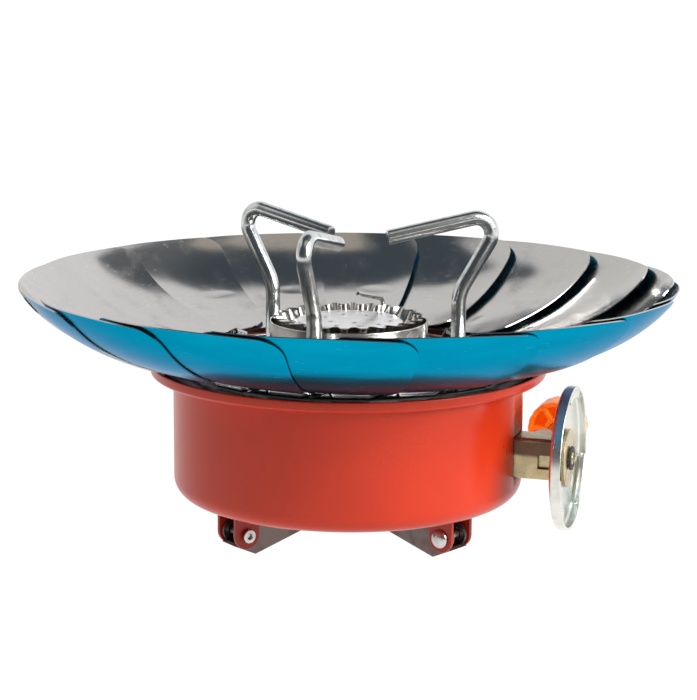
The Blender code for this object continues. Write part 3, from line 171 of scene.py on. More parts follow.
class Recipe:
    """Node work that materials and the world share."""

    def __init__(self, tree: bpy.types.NodeTree) -> None:
        """Start on a node tree."""
        self.tree = tree

    def add(
        self,
        kind: str,
        settings: dict[str, object] | None = None,
        values: dict[str | int, object] | None = None,
    ) -> bpy.types.Node:
        """Add a node.

        Args:
            kind: The node's type, without its leading ShaderNode.
            settings: Its properties, set first; "stops" fills a ramp.
            values: Numbers, colours or signals for its sockets.

        Returns:
            The new node.
        """
        node = self.tree.nodes.new(f"ShaderNode{kind}")
        for name, value in (settings or {}).items():
            if name == "stops":
                while len(node.color_ramp.elements) < len(value):
                    node.color_ramp.elements.new(0.5)
                for element, (place, colour) in zip(node.color_ramp.elements, value):
                    element.position = place
                    element.color = (*colour, 1)
            else:
                setattr(node, name, value)
        for name, value in (values or {}).items():
            self.feed(node.inputs[name], value)
        return node

    def feed(self, socket: bpy.types.NodeSocket, value: object) -> None:
        """Set a socket's number or colour, or link a signal to it.

        Args:
            socket: An input socket.
            value: A signal to link, or what to set.
        """
        if isinstance(value, Signal):
            self.tree.links.new(value.socket, socket)
        elif isinstance(value, tuple) and socket.type == "RGBA":
            socket.default_value = (*value, 1)
        else:
            socket.default_value = value

    def output(self, node: bpy.types.Node, name: str | int = 0) -> Signal:
        """A node's output as a signal."""
        return Signal(self.tree, node.outputs[name])

    def coordinates(self, stretch: Colour = (1, 1, 1), shift: bool = False) -> Signal:
        """The piece's own coordinates in metres.

        Args:
            stretch: Factors along its axes.
            shift: Whether each piece reads another part of the pattern.

        Returns:
            A vector signal.
        """
        place = self.output(self.add("TexCoord"), "Object")
        if shift:
            chance = self.output(self.add("ObjectInfo"), "Random")
            place = self.output(
                self.add("VectorMath", {"operation": "ADD"}, {0: place, 1: chance})
            )
        return self.output(
            self.add("VectorMath", {"operation": "MULTIPLY"}, {0: place, 1: stretch})
        )

    def height(self) -> Signal:
        """The height in the piece's own coordinates."""
        return self.output(self.add("SeparateXYZ", None, {0: self.coordinates()}), "Z")

    def noise(self, size: float, detail: float = 2, **place: object) -> Signal:
        """A soft noise between 0 and 1.

        Args:
            size: Its grain in metres.
            detail: Its number of octaves.
            place: What the coordinates take, such as stretch or shift.

        Returns:
            The noise's factor.
        """
        node = self.add(
            "TexNoise", None,
            {"Vector": self.coordinates(**place), "Scale": 1 / size, "Detail": detail},
        )
        return self.output(node, "Fac")

    def mixed(self, mask: Signal, low: object, high: object) -> Signal:
        """Blend two colours by a mask."""
        node = self.add("Mix", {"data_type": "RGBA"}, {0: mask, 6: low, 7: high})
        return self.output(node, 2)


class Material(Recipe):
    """A Principled material in the making."""

    def __init__(self, name: str) -> None:
        """Start a material of that name.

        Args:
            name: The material's name.
        """
        self.block = bpy.data.materials.new(name)
        self.block.use_nodes = True
        super().__init__(self.block.node_tree)
        self.shader = self.tree.nodes["Principled BSDF"]

    def set(self, **values: object) -> None:
        """Feed the shader's sockets, named with _ for their spaces."""
        for name, value in values.items():
            self.feed(self.shader.inputs[name.replace("_", " ")], value)

    def bump(self, height: Signal, depth: float) -> None:
        """Raise the surface by a signal between 0 and 1, over a depth in metres."""
        node = self.add("Bump", None, {"Height": height, "Distance": depth})
        self.set(Normal=self.output(node, "Normal"))


@dataclass(frozen=True)
class Enamel:
    """Stoved gloss paint over steel."""

    slot: Slot = Slot.RED_PAINT
    name: str = "enamel"
    colour: Colour = (0.52, 0.031, 0.007)
    deep: Colour = (0.48, 0.027, 0.006)
    speck: Colour = (0.35, 0.03, 0.02)
    roughness: float = 0.28
    cloud: float = 26 * MM
    dust: float = 0.9 * MM
    peel: float = 2.2 * MM
    peel_depth: float = 0.012 * MM

    def material(self) -> bpy.types.Material:
        """Paint with faint clouds, orange peel and a few dust specks.

        Returns:
            The paint.
        """
        work = Material(self.name)
        clouds = work.noise(self.cloud, 3)
        dust = work.noise(self.dust, 1).step(0.76, 0.80)
        tone = work.mixed(clouds.step(0.35, 0.7), self.colour, self.deep)
        work.set(
            Base_Color=work.mixed(dust * 0.35, tone, self.speck),
            Roughness=clouds * 0.08 + (self.roughness - 0.04),
            Specular_IOR_Level=0.3, IOR=1.5,
        )
        work.bump(work.noise(self.peel, 2) + dust * 0.5, self.peel_depth)
        return work.block


@dataclass(frozen=True)
class BareSheet:
    """Bright rolled stainless sheet, wavy in its reflections."""

    slot: Slot = Slot.BLUE_STEEL
    name: str = "bare_sheet"
    colour: Colour = (0.64, 0.625, 0.61)
    smudged: Colour = (0.55, 0.54, 0.53)
    scuffed: Colour = (0.78, 0.77, 0.76)
    roughness: float = 0.16
    line: float = 0.5 * MM
    wave: float = 17 * MM
    smudge: float = 9 * MM
    scuff: float = 1.3 * MM
    depth: float = 0.25 * MM

    def material(self) -> bpy.types.Material:
        """Fine rolling lines along Y, slow waves, scuffs and finger smudges.

        Returns:
            The bare sheet's material.
        """
        work = Material(self.name)
        lines = work.noise(self.line, 3, stretch=(1, 0.03, 1), shift=True)
        waves = work.noise(self.wave, 1, shift=True)
        smudge = work.noise(self.smudge, 4, shift=True).step(0.5, 0.75)
        scuff = work.noise(self.scuff, 5, stretch=(1, 0.35, 1), shift=True).step(0.62, 0.72)
        tone = work.mixed(lines * 0.5 + smudge * 0.35, self.colour, self.smudged)
        work.set(
            Base_Color=work.mixed(scuff * 0.45, tone, self.scuffed),
            Metallic=1.0,
            Roughness=lines * 0.08 + smudge * 0.12 + scuff * 0.06 + (self.roughness - 0.04),
        )
        work.bump(lines * 0.04 + waves + scuff * 0.02, self.depth)
        return work.block


@dataclass(frozen=True)
class BlueFilm:
    """Steel sheet under a clear blue film."""

    slot: Slot = Slot.BLUE_STEEL
    name: str = "blue_film"
    colour: Colour = (0.0, 0.265, 0.425)
    pale: Colour = (0.0, 0.30, 0.47)
    # painted shade at the petal's foot, tinged by a painted reflection of the red cup
    deep: Colour = (0.10, 0.12, 0.23)
    scuffed: Colour = (0.06, 0.34, 0.50)
    tint: Colour = (0.5, 0.6, 0.75)
    # heights above the hinge over which the painted shade at the foot fades into the blue
    foot: Point = (2.0 * MM, 7.5 * MM)
    roughness: float = 0.24
    crease: float = 8 * MM
    scuff: float = 1.2 * MM
    depth: float = 0.12 * MM

    def material(self) -> bpy.types.Material:
        """Blue, darkened towards its foot by painted shade with a painted reflection of the red cup, with
        faint creases and scuffs under a soft gloss.

        Returns:
            The film's material.
        """
        work = Material(self.name)
        creases = work.noise(self.crease, 4, stretch=(1, 0.3, 1), shift=True)
        scuff = work.noise(self.scuff, 4, stretch=(1, 0.2, 1), shift=True).step(0.66, 0.74)
        tone = work.mixed(creases.step(0.35, 0.7), self.colour, self.pale)
        tone = work.mixed(scuff * 0.3, tone, self.scuffed)
        work.set(
            # painted shade and reflection: the film turns to the deep colour towards the petal's foot
            Base_Color=work.mixed(work.height().step(*self.foot), self.deep, tone),
            Metallic=1.0, Specular_Tint=self.tint,
            Roughness=creases * 0.1 + scuff * 0.1 + (self.roughness - 0.05),
        )
        work.bump(creases, self.depth)
        return work.block


@dataclass(frozen=True)
class Plate:
    """A plated or bare metal with a fine mottle."""

    name: str
    slot: Slot
    colour: Colour
    stain_and_shade: Colour
    roughness: float
    grain: float = 0.6 * MM
    cloud: float = 6 * MM
    depth: float = 0.01 * MM
    metallic: float = 1.0

    def material(self) -> bpy.types.Material:
        """Metal with cloudy stains and a fine grain.

        Returns:
            The metal.
        """
        work = Material(self.name)
        grain = work.noise(self.grain, 3, shift=True)
        cloud = work.noise(self.cloud, 4, shift=True)
        mask = cloud.step(0.42, 0.68) * 0.8 + grain.step(0.45, 0.75) * 0.2
        work.set(
            Base_Color=work.mixed(mask, self.colour, self.stain_and_shade),
            Metallic=self.metallic,
            Roughness=grain * 0.12 + cloud * 0.1 + (self.roughness - 0.11),
        )
        work.bump(grain * 0.7 + cloud * 0.3, self.depth)
        return work.block


@dataclass(frozen=True)
class Chromate:
    """Yellow passivated zinc with rainbow patches."""

    slot: Slot = Slot.YELLOW_ZINC
    name: str = "chromate"
    shades: tuple[tuple[float, Colour], ...] = (
        (0.28, (0.34, 0.18, 0.12)), (0.42, (0.48, 0.36, 0.19)), (0.52, (0.54, 0.43, 0.26)),
        (0.62, (0.40, 0.37, 0.20)), (0.75, (0.50, 0.31, 0.22)),
    )
    pitted: Colour = (0.16, 0.12, 0.08)
    # colour of the band of painted shade
    brown: Colour = (0.10, 0.05, 0.03)
    # heights of the band of painted shade; zero leaves none
    stain_and_shade: Point = (0.0, 0.0)
    shade_edge: float = 0.7 * MM
    shade_wander: float = 1.5 * MM
    roughness: float = 0.28
    drift: float = 7 * MM
    pit: float = 0.5 * MM
    smear: float = 1.5 * MM
    grain: float = 0.8 * MM
    depth: float = 0.02 * MM

    def material(self) -> bpy.types.Material:
        """Straw yellow that drifts to green, rose and brown, with a brown band of painted shade across
        given heights if asked.

        Returns:
            The plated steel's material.
        """
        work = Material(self.name)
        drift = work.noise(self.drift, 3)
        ramp = work.add("ValToRGB", {"stops": self.shades}, {0: drift})
        pits = work.noise(self.pit, 2).step(0.66, 0.74)
        tone = work.mixed(pits * 0.5, work.output(ramp), self.pitted)
        # painted shade: a dark band across the given heights, its edge wandering with the drift
        level = work.height() + drift * self.shade_wander
        band = level.band(*self.stain_and_shade, self.shade_edge) * 0.95
        work.set(
            Base_Color=work.mixed(band, tone, self.brown),
            Metallic=0.9,
            Roughness=work.noise(self.smear, 3) * 0.2 + (self.roughness - 0.1),
        )
        work.bump(work.noise(self.grain, 3, stretch=(0.2, 1, 1)) - pits * 0.4, self.depth)
        return work.block


@dataclass(frozen=True)
class Moulded:
    """A moulded plastic, rubber or ceramic."""

    name: str
    slot: Slot
    colour: Colour
    shade: Colour
    roughness: float
    glow: float = 0.0
    # emission strength: a painted glow in the material's own colour
    light: float = 0.0
    grain: float = 0.4 * MM
    cloud: float = 5 * MM
    depth: float = 0.01 * MM

    def material(self) -> bpy.types.Material:
        """A fine grain with slow changes of tone, and a painted glow where light is set.

        Returns:
            The moulded material.
        """
        work = Material(self.name)
        cloud = work.noise(self.cloud, 2)
        grain = work.noise(self.grain, 2)
        # the emission paints a glow in the material's own colour
        work.set(
            Base_Color=work.mixed(cloud.step(0.35, 0.7), self.colour, self.shade),
            Roughness=grain * 0.12 + (self.roughness - 0.06),
            Subsurface_Weight=self.glow, Emission_Color=self.colour, Emission_Strength=self.light,
        )
        work.bump(grain, self.depth)
        return work.block


ENAMEL = Enamel()
EAR_ENAMEL = Enamel(name="ear_enamel", colour=(0.34, 0.022, 0.010), deep=(0.27, 0.018, 0.009))
BARE_SHEET = BareSheet()
PLAIN_STAINLESS = BareSheet(slot=Slot.STAINLESS, name="plain_stainless", colour=(0.62, 0.60, 0.57),
                            roughness=0.24)
BLUE_FILM = BlueFilm()
BRIGHT_ZINC = Plate("bright_zinc", Slot.ZINC_WIRE, (0.74, 0.76, 0.75), (0.52, 0.55, 0.54), 0.2,
                    cloud=3 * MM, depth=0.03 * MM)
# dark grey: a shaded copy of the zinc wire, painting the shade of the gap where the wire lies
DIM_WIRE = Plate("dim_wire", Slot.ZINC_WIRE, (0.22, 0.22, 0.22), (0.12, 0.12, 0.13), 0.35)
GREY_ZINC = Plate("grey_zinc", Slot.GREY_ZINC, (0.50, 0.52, 0.53), (0.36, 0.39, 0.40), 0.34)
COLLAR_ZINC = Plate("collar_zinc", Slot.GREY_ZINC, (0.76, 0.76, 0.71), (0.64, 0.63, 0.57), 0.3)
# near black: painted shade of the gap between the cup's lip and the petals, carried by the ring
RING_SHADE = Plate("ring_black", Slot.DARK_STEEL, (0.014, 0.012, 0.012), (0.008, 0.007, 0.007), 0.55,
                   metallic=0.5)
DARK_STEEL = Plate("dark_steel", Slot.DARK_STEEL, (0.16, 0.12, 0.11), (0.10, 0.075, 0.07), 0.3,
                   metallic=0.85)
PIN_STEEL = Plate("pin_steel", Slot.DARK_STEEL, (0.62, 0.60, 0.58), (0.45, 0.42, 0.40), 0.26)
BURNER_STEEL = Plate("burner_steel", Slot.STAINLESS, (0.70, 0.68, 0.65), (0.55, 0.52, 0.49), 0.2,
                     grain=0.3 * MM, depth=0.006 * MM)
CAP_STEEL = Plate("cap_steel", Slot.STAINLESS, (0.88, 0.88, 0.89), (0.80, 0.80, 0.82), 0.25,
                  depth=0.004 * MM)
CHROMATE = Chromate()
# the sleeve's upper part gets a brown band of painted shade and dark reflection
SLEEVE_CHROMATE = Chromate(name="stained_chromate", stain_and_shade=(BASE + 17.4 * MM, BASE + 22.2 * MM))
BRASS = Plate("brass", Slot.BRASS, (0.72, 0.50, 0.20), (0.52, 0.34, 0.13), 0.3)
COPPER = Plate("copper", Slot.COPPER, (0.72, 0.38, 0.24), (0.45, 0.22, 0.14), 0.35)
# the orange knob glows a little by emission: painted light, not a lamp
ORANGE = Moulded("orange_plastic", Slot.ORANGE_PLASTIC, (1.0, 0.22, 0.012), (0.95, 0.17, 0.01), 0.32,
                 glow=0.2, light=0.13)
RUBBER = Moulded("black_rubber", Slot.BLACK_RUBBER, (0.02, 0.02, 0.02), (0.03, 0.03, 0.03), 0.7)
BLACK = Moulded("black_plastic", Slot.BLACK_PLASTIC, (0.028, 0.028, 0.03), (0.02, 0.02, 0.02), 0.42)
CERAMIC = Moulded("ceramic", Slot.CERAMIC, (0.86, 0.84, 0.79), (0.78, 0.75, 0.69), 0.3)
Finish = Enamel | BareSheet | BlueFilm | Plate | Chromate | Moulded


def polar(radius: float, degrees: float, height: float) -> Vector:
    """A point from its distance from the axis, azimuth and height."""
    turn = math.radians(degrees)
    return Vector((radius * math.cos(turn), radius * math.sin(turn), height))


def arc(centre: Point, radii: Point, start: float, end: float, count: int) -> list[Point]:
    """Points of an arc or a part of an ellipse.

    Args:
        centre: Its centre.
        radii: Its two half axes.
        start: Its first angle in degrees.
        end: Its last angle in degrees.
        count: How many steps it has.

    Returns:
        The points, ends included.
    """
    angles = (math.radians(start + (end - start) * i / count) for i in range(count + 1))
    return [(centre[0] + radii[0] * math.cos(a), centre[1] + radii[1] * math.sin(a)) for a in angles]


def eased(corners: list[Point], radius: float, steps: int = 3) -> list[Point]:
    """Round the corners of a closed section.

    Args:
        corners: The section's corners in order.
        radius: How far each corner is cut back, limited by its sides.
        steps: How many steps a corner gets.

    Returns:
        The rounded section. Corners on the axis stay sharp.
    """
    found: list[Point] = []
    for i, corner in enumerate(corners):
        here = Vector(corner)
        before, after = Vector(corners[i - 1]), Vector(corners[(i + 1) % len(corners)])
        into, out = before - here, after - here
        cut = min(radius, into.length * CORNER_SHARE, out.length * CORNER_SHARE)
        if corner[0] == 0 or cut < MERGE or into.angle(out) > NEARLY_FLAT:
            found.append(corner)
            continue
        first, last = here + into.normalized() * cut, here + out.normalized() * cut
        for k in range(steps + 1):
            share = k / steps
            point = first.lerp(here, share).lerp(here.lerp(last, share), share)
            found.append((point.x, point.y))
    return found


def revolve(section: list[Point], steps: int) -> bmesh.types.BMesh:
    """Turn a section of (radius, height) points about Z.

    Args:
        section: The section, closed unless it starts and ends on the axis.
        steps: How many steps go round.

    Returns:
        The turned mesh.
    """
    work = bmesh.new()
    corners = [work.verts.new((r, 0, z)) for r, z in section]
    edges = [work.edges.new(pair) for pair in zip(corners, corners[1:])]
    if section[0][0] != 0 or section[-1][0] != 0:
        edges.append(work.edges.new((corners[-1], corners[0])))
    bmesh.ops.spin(work, geom=corners + edges, cent=(0, 0, 0), axis=(0, 0, 1),
                   angle=math.tau, steps=steps, use_merge=True)
    bmesh.ops.remove_doubles(work, verts=work.verts, dist=MERGE)
    bmesh.ops.recalc_face_normals(work, faces=work.faces)
    return work


def rod(radius: float, low: float, high: float, steps: int) -> bmesh.types.BMesh:
    """A cylinder along Z."""
    return revolve([(0, low), (radius, low), (radius, high), (0, high)], steps)


def prism(outline: list[Point], low: float, high: float) -> bmesh.types.BMesh:
    """Extrude a closed (x, y) outline along Z.

    Args:
        outline: Its corners in order.
        low: The height of its lower face.
        high: The height of its upper face.

    Returns:
        The extruded mesh.
    """
    work = bmesh.new()
    face = work.faces.new([work.verts.new((x, y, low)) for x, y in outline])
    grown = bmesh.ops.extrude_face_region(work, geom=[face])
    top = [v for v in grown["geom"] if isinstance(v, bmesh.types.BMVert)]
    bmesh.ops.translate(work, vec=(0, 0, high - low), verts=top)
    bmesh.ops.recalc_face_normals(work, faces=work.faces)
    return work


def moved(work: bmesh.types.BMesh, matrix: Matrix) -> bmesh.types.BMesh:
    """The same mesh, moved by a matrix."""
    bmesh.ops.transform(work, matrix=matrix, verts=work.verts)
    return work


def joined(parts: list[bmesh.types.BMesh]) -> bmesh.types.BMesh:
    """Several meshes as the separate bodies of one.

    Args:
        parts: The meshes, which are used up.

    Returns:
        One mesh that holds them all.
    """
    whole = bmesh.new()
    for part in parts:
        mesh = bpy.data.meshes.new("scratch")
        part.to_mesh(mesh)
        part.free()
        whole.from_mesh(mesh)
        bpy.data.meshes.remove(mesh)
    return whole


def rounded_path(corners: list[Vector], bends: list[float], count: int) -> list[Vector]:
    """A line whose inner corners are arcs.

    Args:
        corners: The line's corners.
        bends: The radius of each inner corner.
        count: How many steps a bend has.

    Returns:
        The points of the line.
    """
    path = [corners[0]]
    for before, corner, after, bend in zip(corners, corners[1:], corners[2:], bends):
        into, out = (corner - before).normalized(), (after - corner).normalized()
        turn = into.angle(out)
        centre = corner + (out - into).normalized() * bend / math.cos(turn / 2)
        start = corner - into * bend * math.tan(turn / 2) - centre
        axis = into.cross(out).normalized()
        path += [centre + Matrix.Rotation(turn * i / count, 3, axis) @ start for i in range(count + 1)]
    path.append(corners[-1])
    return path


def sweep(path: list[Vector], radius: float, sides: int, closed: bool = False,
          ease: float = 0) -> bmesh.types.BMesh:
    """A round wire along a path.

    Args:
        path: The wire's centre line.
        radius: The wire's radius.
        sides: How many faces go round it.
        closed: Whether the path closes on itself.
        ease: How far its ends are rounded.

    Returns:
        The wire's mesh.
    """
    work = bmesh.new()
    points = [(p, radius) for p in path]
    if ease:
        first, last = (path[1] - path[0]).normalized(), (path[-2] - path[-1]).normalized()
        for place, share in enumerate((0.35, 0.75, 1.0), 1):
            grown = radius - ease * (1 - math.sqrt(1 - (1 - share) ** 2))
            points.insert(place, (path[0] + first * ease * share, grown))
            points.insert(len(points) - place, (path[-1] + last * ease * share, grown))
        points[0], points[-1] = (path[0], radius - ease), (path[-1], radius - ease)
    count = len(points)
    rings: list[list[bmesh.types.BMVert]] = []
    normal: Vector | None = None
    for i, (point, width) in enumerate(points):
        before = points[i - 1][0] if closed or i else point
        after = points[(i + 1) % count][0] if closed or i < count - 1 else point
        tangent = ((point - before).normalized() + (after - point).normalized()).normalized()
        normal = tangent.orthogonal() if normal is None else normal
        normal = (normal - tangent * normal.dot(tangent)).normalized()
        side = tangent.cross(normal)
        angles = (math.tau * k / sides for k in range(sides))
        rings.append([work.verts.new(point + width * (math.cos(a) * normal + math.sin(a) * side))
                      for a in angles])
    for low, high in zip(rings, rings[1:]):
        for k in range(sides):
            work.faces.new((low[k], low[(k + 1) % sides], high[(k + 1) % sides], high[k]))
    if closed:
        seam = [work.edges.get(p) for ring in (rings[-1], rings[0])
                for p in zip(ring, ring[1:] + ring[:1])]
        bmesh.ops.bridge_loops(work, edges=seam)
    else:
        work.faces.new(rings[0])
        work.faces.new(rings[-1])
    bmesh.ops.recalc_face_normals(work, faces=work.faces)
    return work


def spun(azimuth: float) -> Matrix:
    """A turn about the stove's axis, in degrees."""
    return Matrix.Rotation(math.radians(azimuth), 4, "Z")


def beside(radius: float, azimuth: float) -> Matrix:
    """A place on a circle about the stove's axis, turned with it."""
    return spun(azimuth) @ Matrix.Translation((radius, 0, 0))


def about_x(height: float) -> Matrix:
    """Lays a piece turned about Z along +X at a height."""
    return Matrix.Translation((0, 0, height)) @ Matrix.Rotation(math.radians(90), 4, "Y")


class Bench:
    """Turns meshes into dressed pieces that ride on the frame's bodies."""

    def __init__(self) -> None:
        """Read which body carries each node."""
        bodies = frame["record"]["behaviour"]["bodies"]
        self.carrier = {node: body for body, nodes in bodies.items() for node in nodes}
        self.made: dict[Finish, bpy.types.Material] = {}

    def paint(self, finish: Finish) -> bpy.types.Material:
        """A finish's material, made once.

        Args:
            finish: The finish.

        Returns:
            Its material.
        """
        if finish not in self.made:
            self.made[finish] = finish.material()
        return self.made[finish]

    def piece(self, name: str, work: bmesh.types.BMesh | bpy.types.Mesh, finishes: list[Finish],
              nodes: list[str], place: Matrix = Matrix()) -> bpy.types.Object:
        """Make one piece that stands for CAD nodes.

        Args:
            name: The piece's name.
            work: Its mesh, or a mesh shared with another piece.
            finishes: Its finishes, in the order of its material places.
            nodes: The nodes that it replaces.
            place: Where it goes.

        Returns:
            The piece.
        """
        mesh = work
        if isinstance(work, bmesh.types.BMesh):
            mesh = bpy.data.meshes.new(name)
            work.to_mesh(mesh)
            work.free()
        if not mesh.materials:
            for finish in finishes:
                mesh.materials.append(self.paint(finish))
            mesh.shade_smooth()
            mesh.set_sharp_from_angle(angle=SHARP)
        item = bpy.data.objects.new(name, mesh)
        bpy.context.scene.collection.objects.link(item)
        item.matrix_world = place
        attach(item, self.carrier[nodes[0]])
        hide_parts(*nodes)
        LOG.info("%s: %d faces for %s", name, len(mesh.polygons), ", ".join(nodes))
        return item

    def cut(self, piece: bpy.types.Object, work: bmesh.types.BMesh, place: Matrix = Matrix(),
            operation: str = "DIFFERENCE") -> None:
        """Cut a tool from a piece, or join it on, with a Boolean modifier.

        Args:
            piece: The piece that takes the modifier.
            work: The tool's mesh.
            place: Where the tool goes.
            operation: What the Boolean does.
        """
        mesh = bpy.data.meshes.new(f"{piece.name}_tool")
        work.to_mesh(mesh)
        work.free()
        mesh.materials.append(piece.data.materials[0])
        mesh.shade_smooth()
        mesh.set_sharp_from_angle(angle=SHARP)
        tool = bpy.data.objects.new(mesh.name, mesh)
        bpy.context.scene.collection.objects.link(tool)
        tool.matrix_world = place
        tool.hide_render = True
        tool.display_type = "WIRE"
        modifier = piece.modifiers.new("cut", "BOOLEAN")
        modifier.operation = operation
        modifier.object = tool

    def soften(self, piece: bpy.types.Object, width: float, steps: int = 2) -> None:
        """Round a piece's sharp edges.

        Args:
            piece: The piece that takes the bevel.
            width: The bevel's width.
            steps: How many steps it has.
        """
        modifier = piece.modifiers.new("soften", "BEVEL")
        modifier.width = width
        modifier.segments = steps
        modifier.limit_method = "ANGLE"
        modifier.angle_limit = SHARP
        modifier.harden_normals = True

    def repaint(self, finish: Finish, *nodes: str) -> None:
        """Give carried-over CAD nodes a finish.

        Args:
            finish: Their finish.
            nodes: The nodes that keep their solids.
        """
        for node in nodes:
            item = frame["nodes"][node]
            item.data.materials.clear()
            item.data.materials.append(self.paint(finish))
            item.data.shade_smooth()
            item.data.set_sharp_from_angle(angle=SHARP)
            LOG.info("%s keeps its solid", node)


@dataclass
class Cup:
    """The drawn and enamelled cup."""

    radius: float = 54.7 * MM
    sheet: float = 0.8 * MM
    fillet: float = 5.7 * MM
    wall_top: float = 37.2 * MM
    shoulder_rise: float = 2.2 * MM
    shoulder_reach: float = 7.0 * MM
    height: float = 41.6 * MM
    vent_radius: float = 3.0 * MM
    vent_circle: float = 22.0 * MM
    vent_count: int = 6
    stud_hole: float = 2.1 * MM
    button_hole: float = 3.9 * MM

    def build(self, bench: Bench, feet: "Feet", connector: "Connector", igniter: "Igniter") -> None:
        """Turn the cup and cut its holes.

        Args:
            bench: Where the pieces are made.
            feet: The feet, whose studs pass the cup's floor.
            connector: The connector that passes the wall.
            igniter: The igniter, whose button passes the wall.
        """
        wall = BASE + self.wall_top
        lip = self.radius + self.shoulder_reach
        centre = (self.radius, wall + self.shoulder_rise)
        foot = (self.radius - self.fillet, BASE + self.fillet)
        inner = self.fillet - self.sheet
        top = BASE + self.height
        roll = self.sheet / 2
        section = [(0, BASE)] + arc(foot, (self.fillet, self.fillet), -90, 0, 14)
        section += arc(centre, (self.shoulder_reach, self.shoulder_rise), -90, 0, 20)
        section += arc((lip - roll, top - roll), (roll, roll), 0, 180, 8)
        section += arc((self.radius - self.sheet, centre[1]),
                       (self.shoulder_reach, self.shoulder_rise - self.sheet), 0, -90, 16)
        section += arc(foot, (inner, inner), 0, -90, 10) + [(0, BASE + self.sheet)]
        cup = bench.piece("cup", revolve(section, Turn.CUP), [ENAMEL], ["housing"])
        low, high = BASE - OVERRUN, BASE + self.sheet + OVERRUN
        tools = [moved(rod(self.vent_radius, low, high, Turn.VENT),
                       beside(self.vent_circle, 360 * (i + 0.5) / self.vent_count))
                 for i in range(self.vent_count)]
        tools += [moved(rod(self.stud_hole, low, high, Turn.HOLE), beside(feet.circle, a))
                  for a in feet.azimuths]
        start = self.radius - self.fillet
        tools.append(moved(prism(connector.outline(GAP), start, self.radius + OVERRUN),
                           about_x(BASE + connector.height)))
        tools.append(moved(rod(self.button_hole, start, self.radius + OVERRUN, Turn.VENT),
                           spun(igniter.button_azimuth) @ about_x(BASE + igniter.button_height)))
        bench.cut(cup, joined(tools))


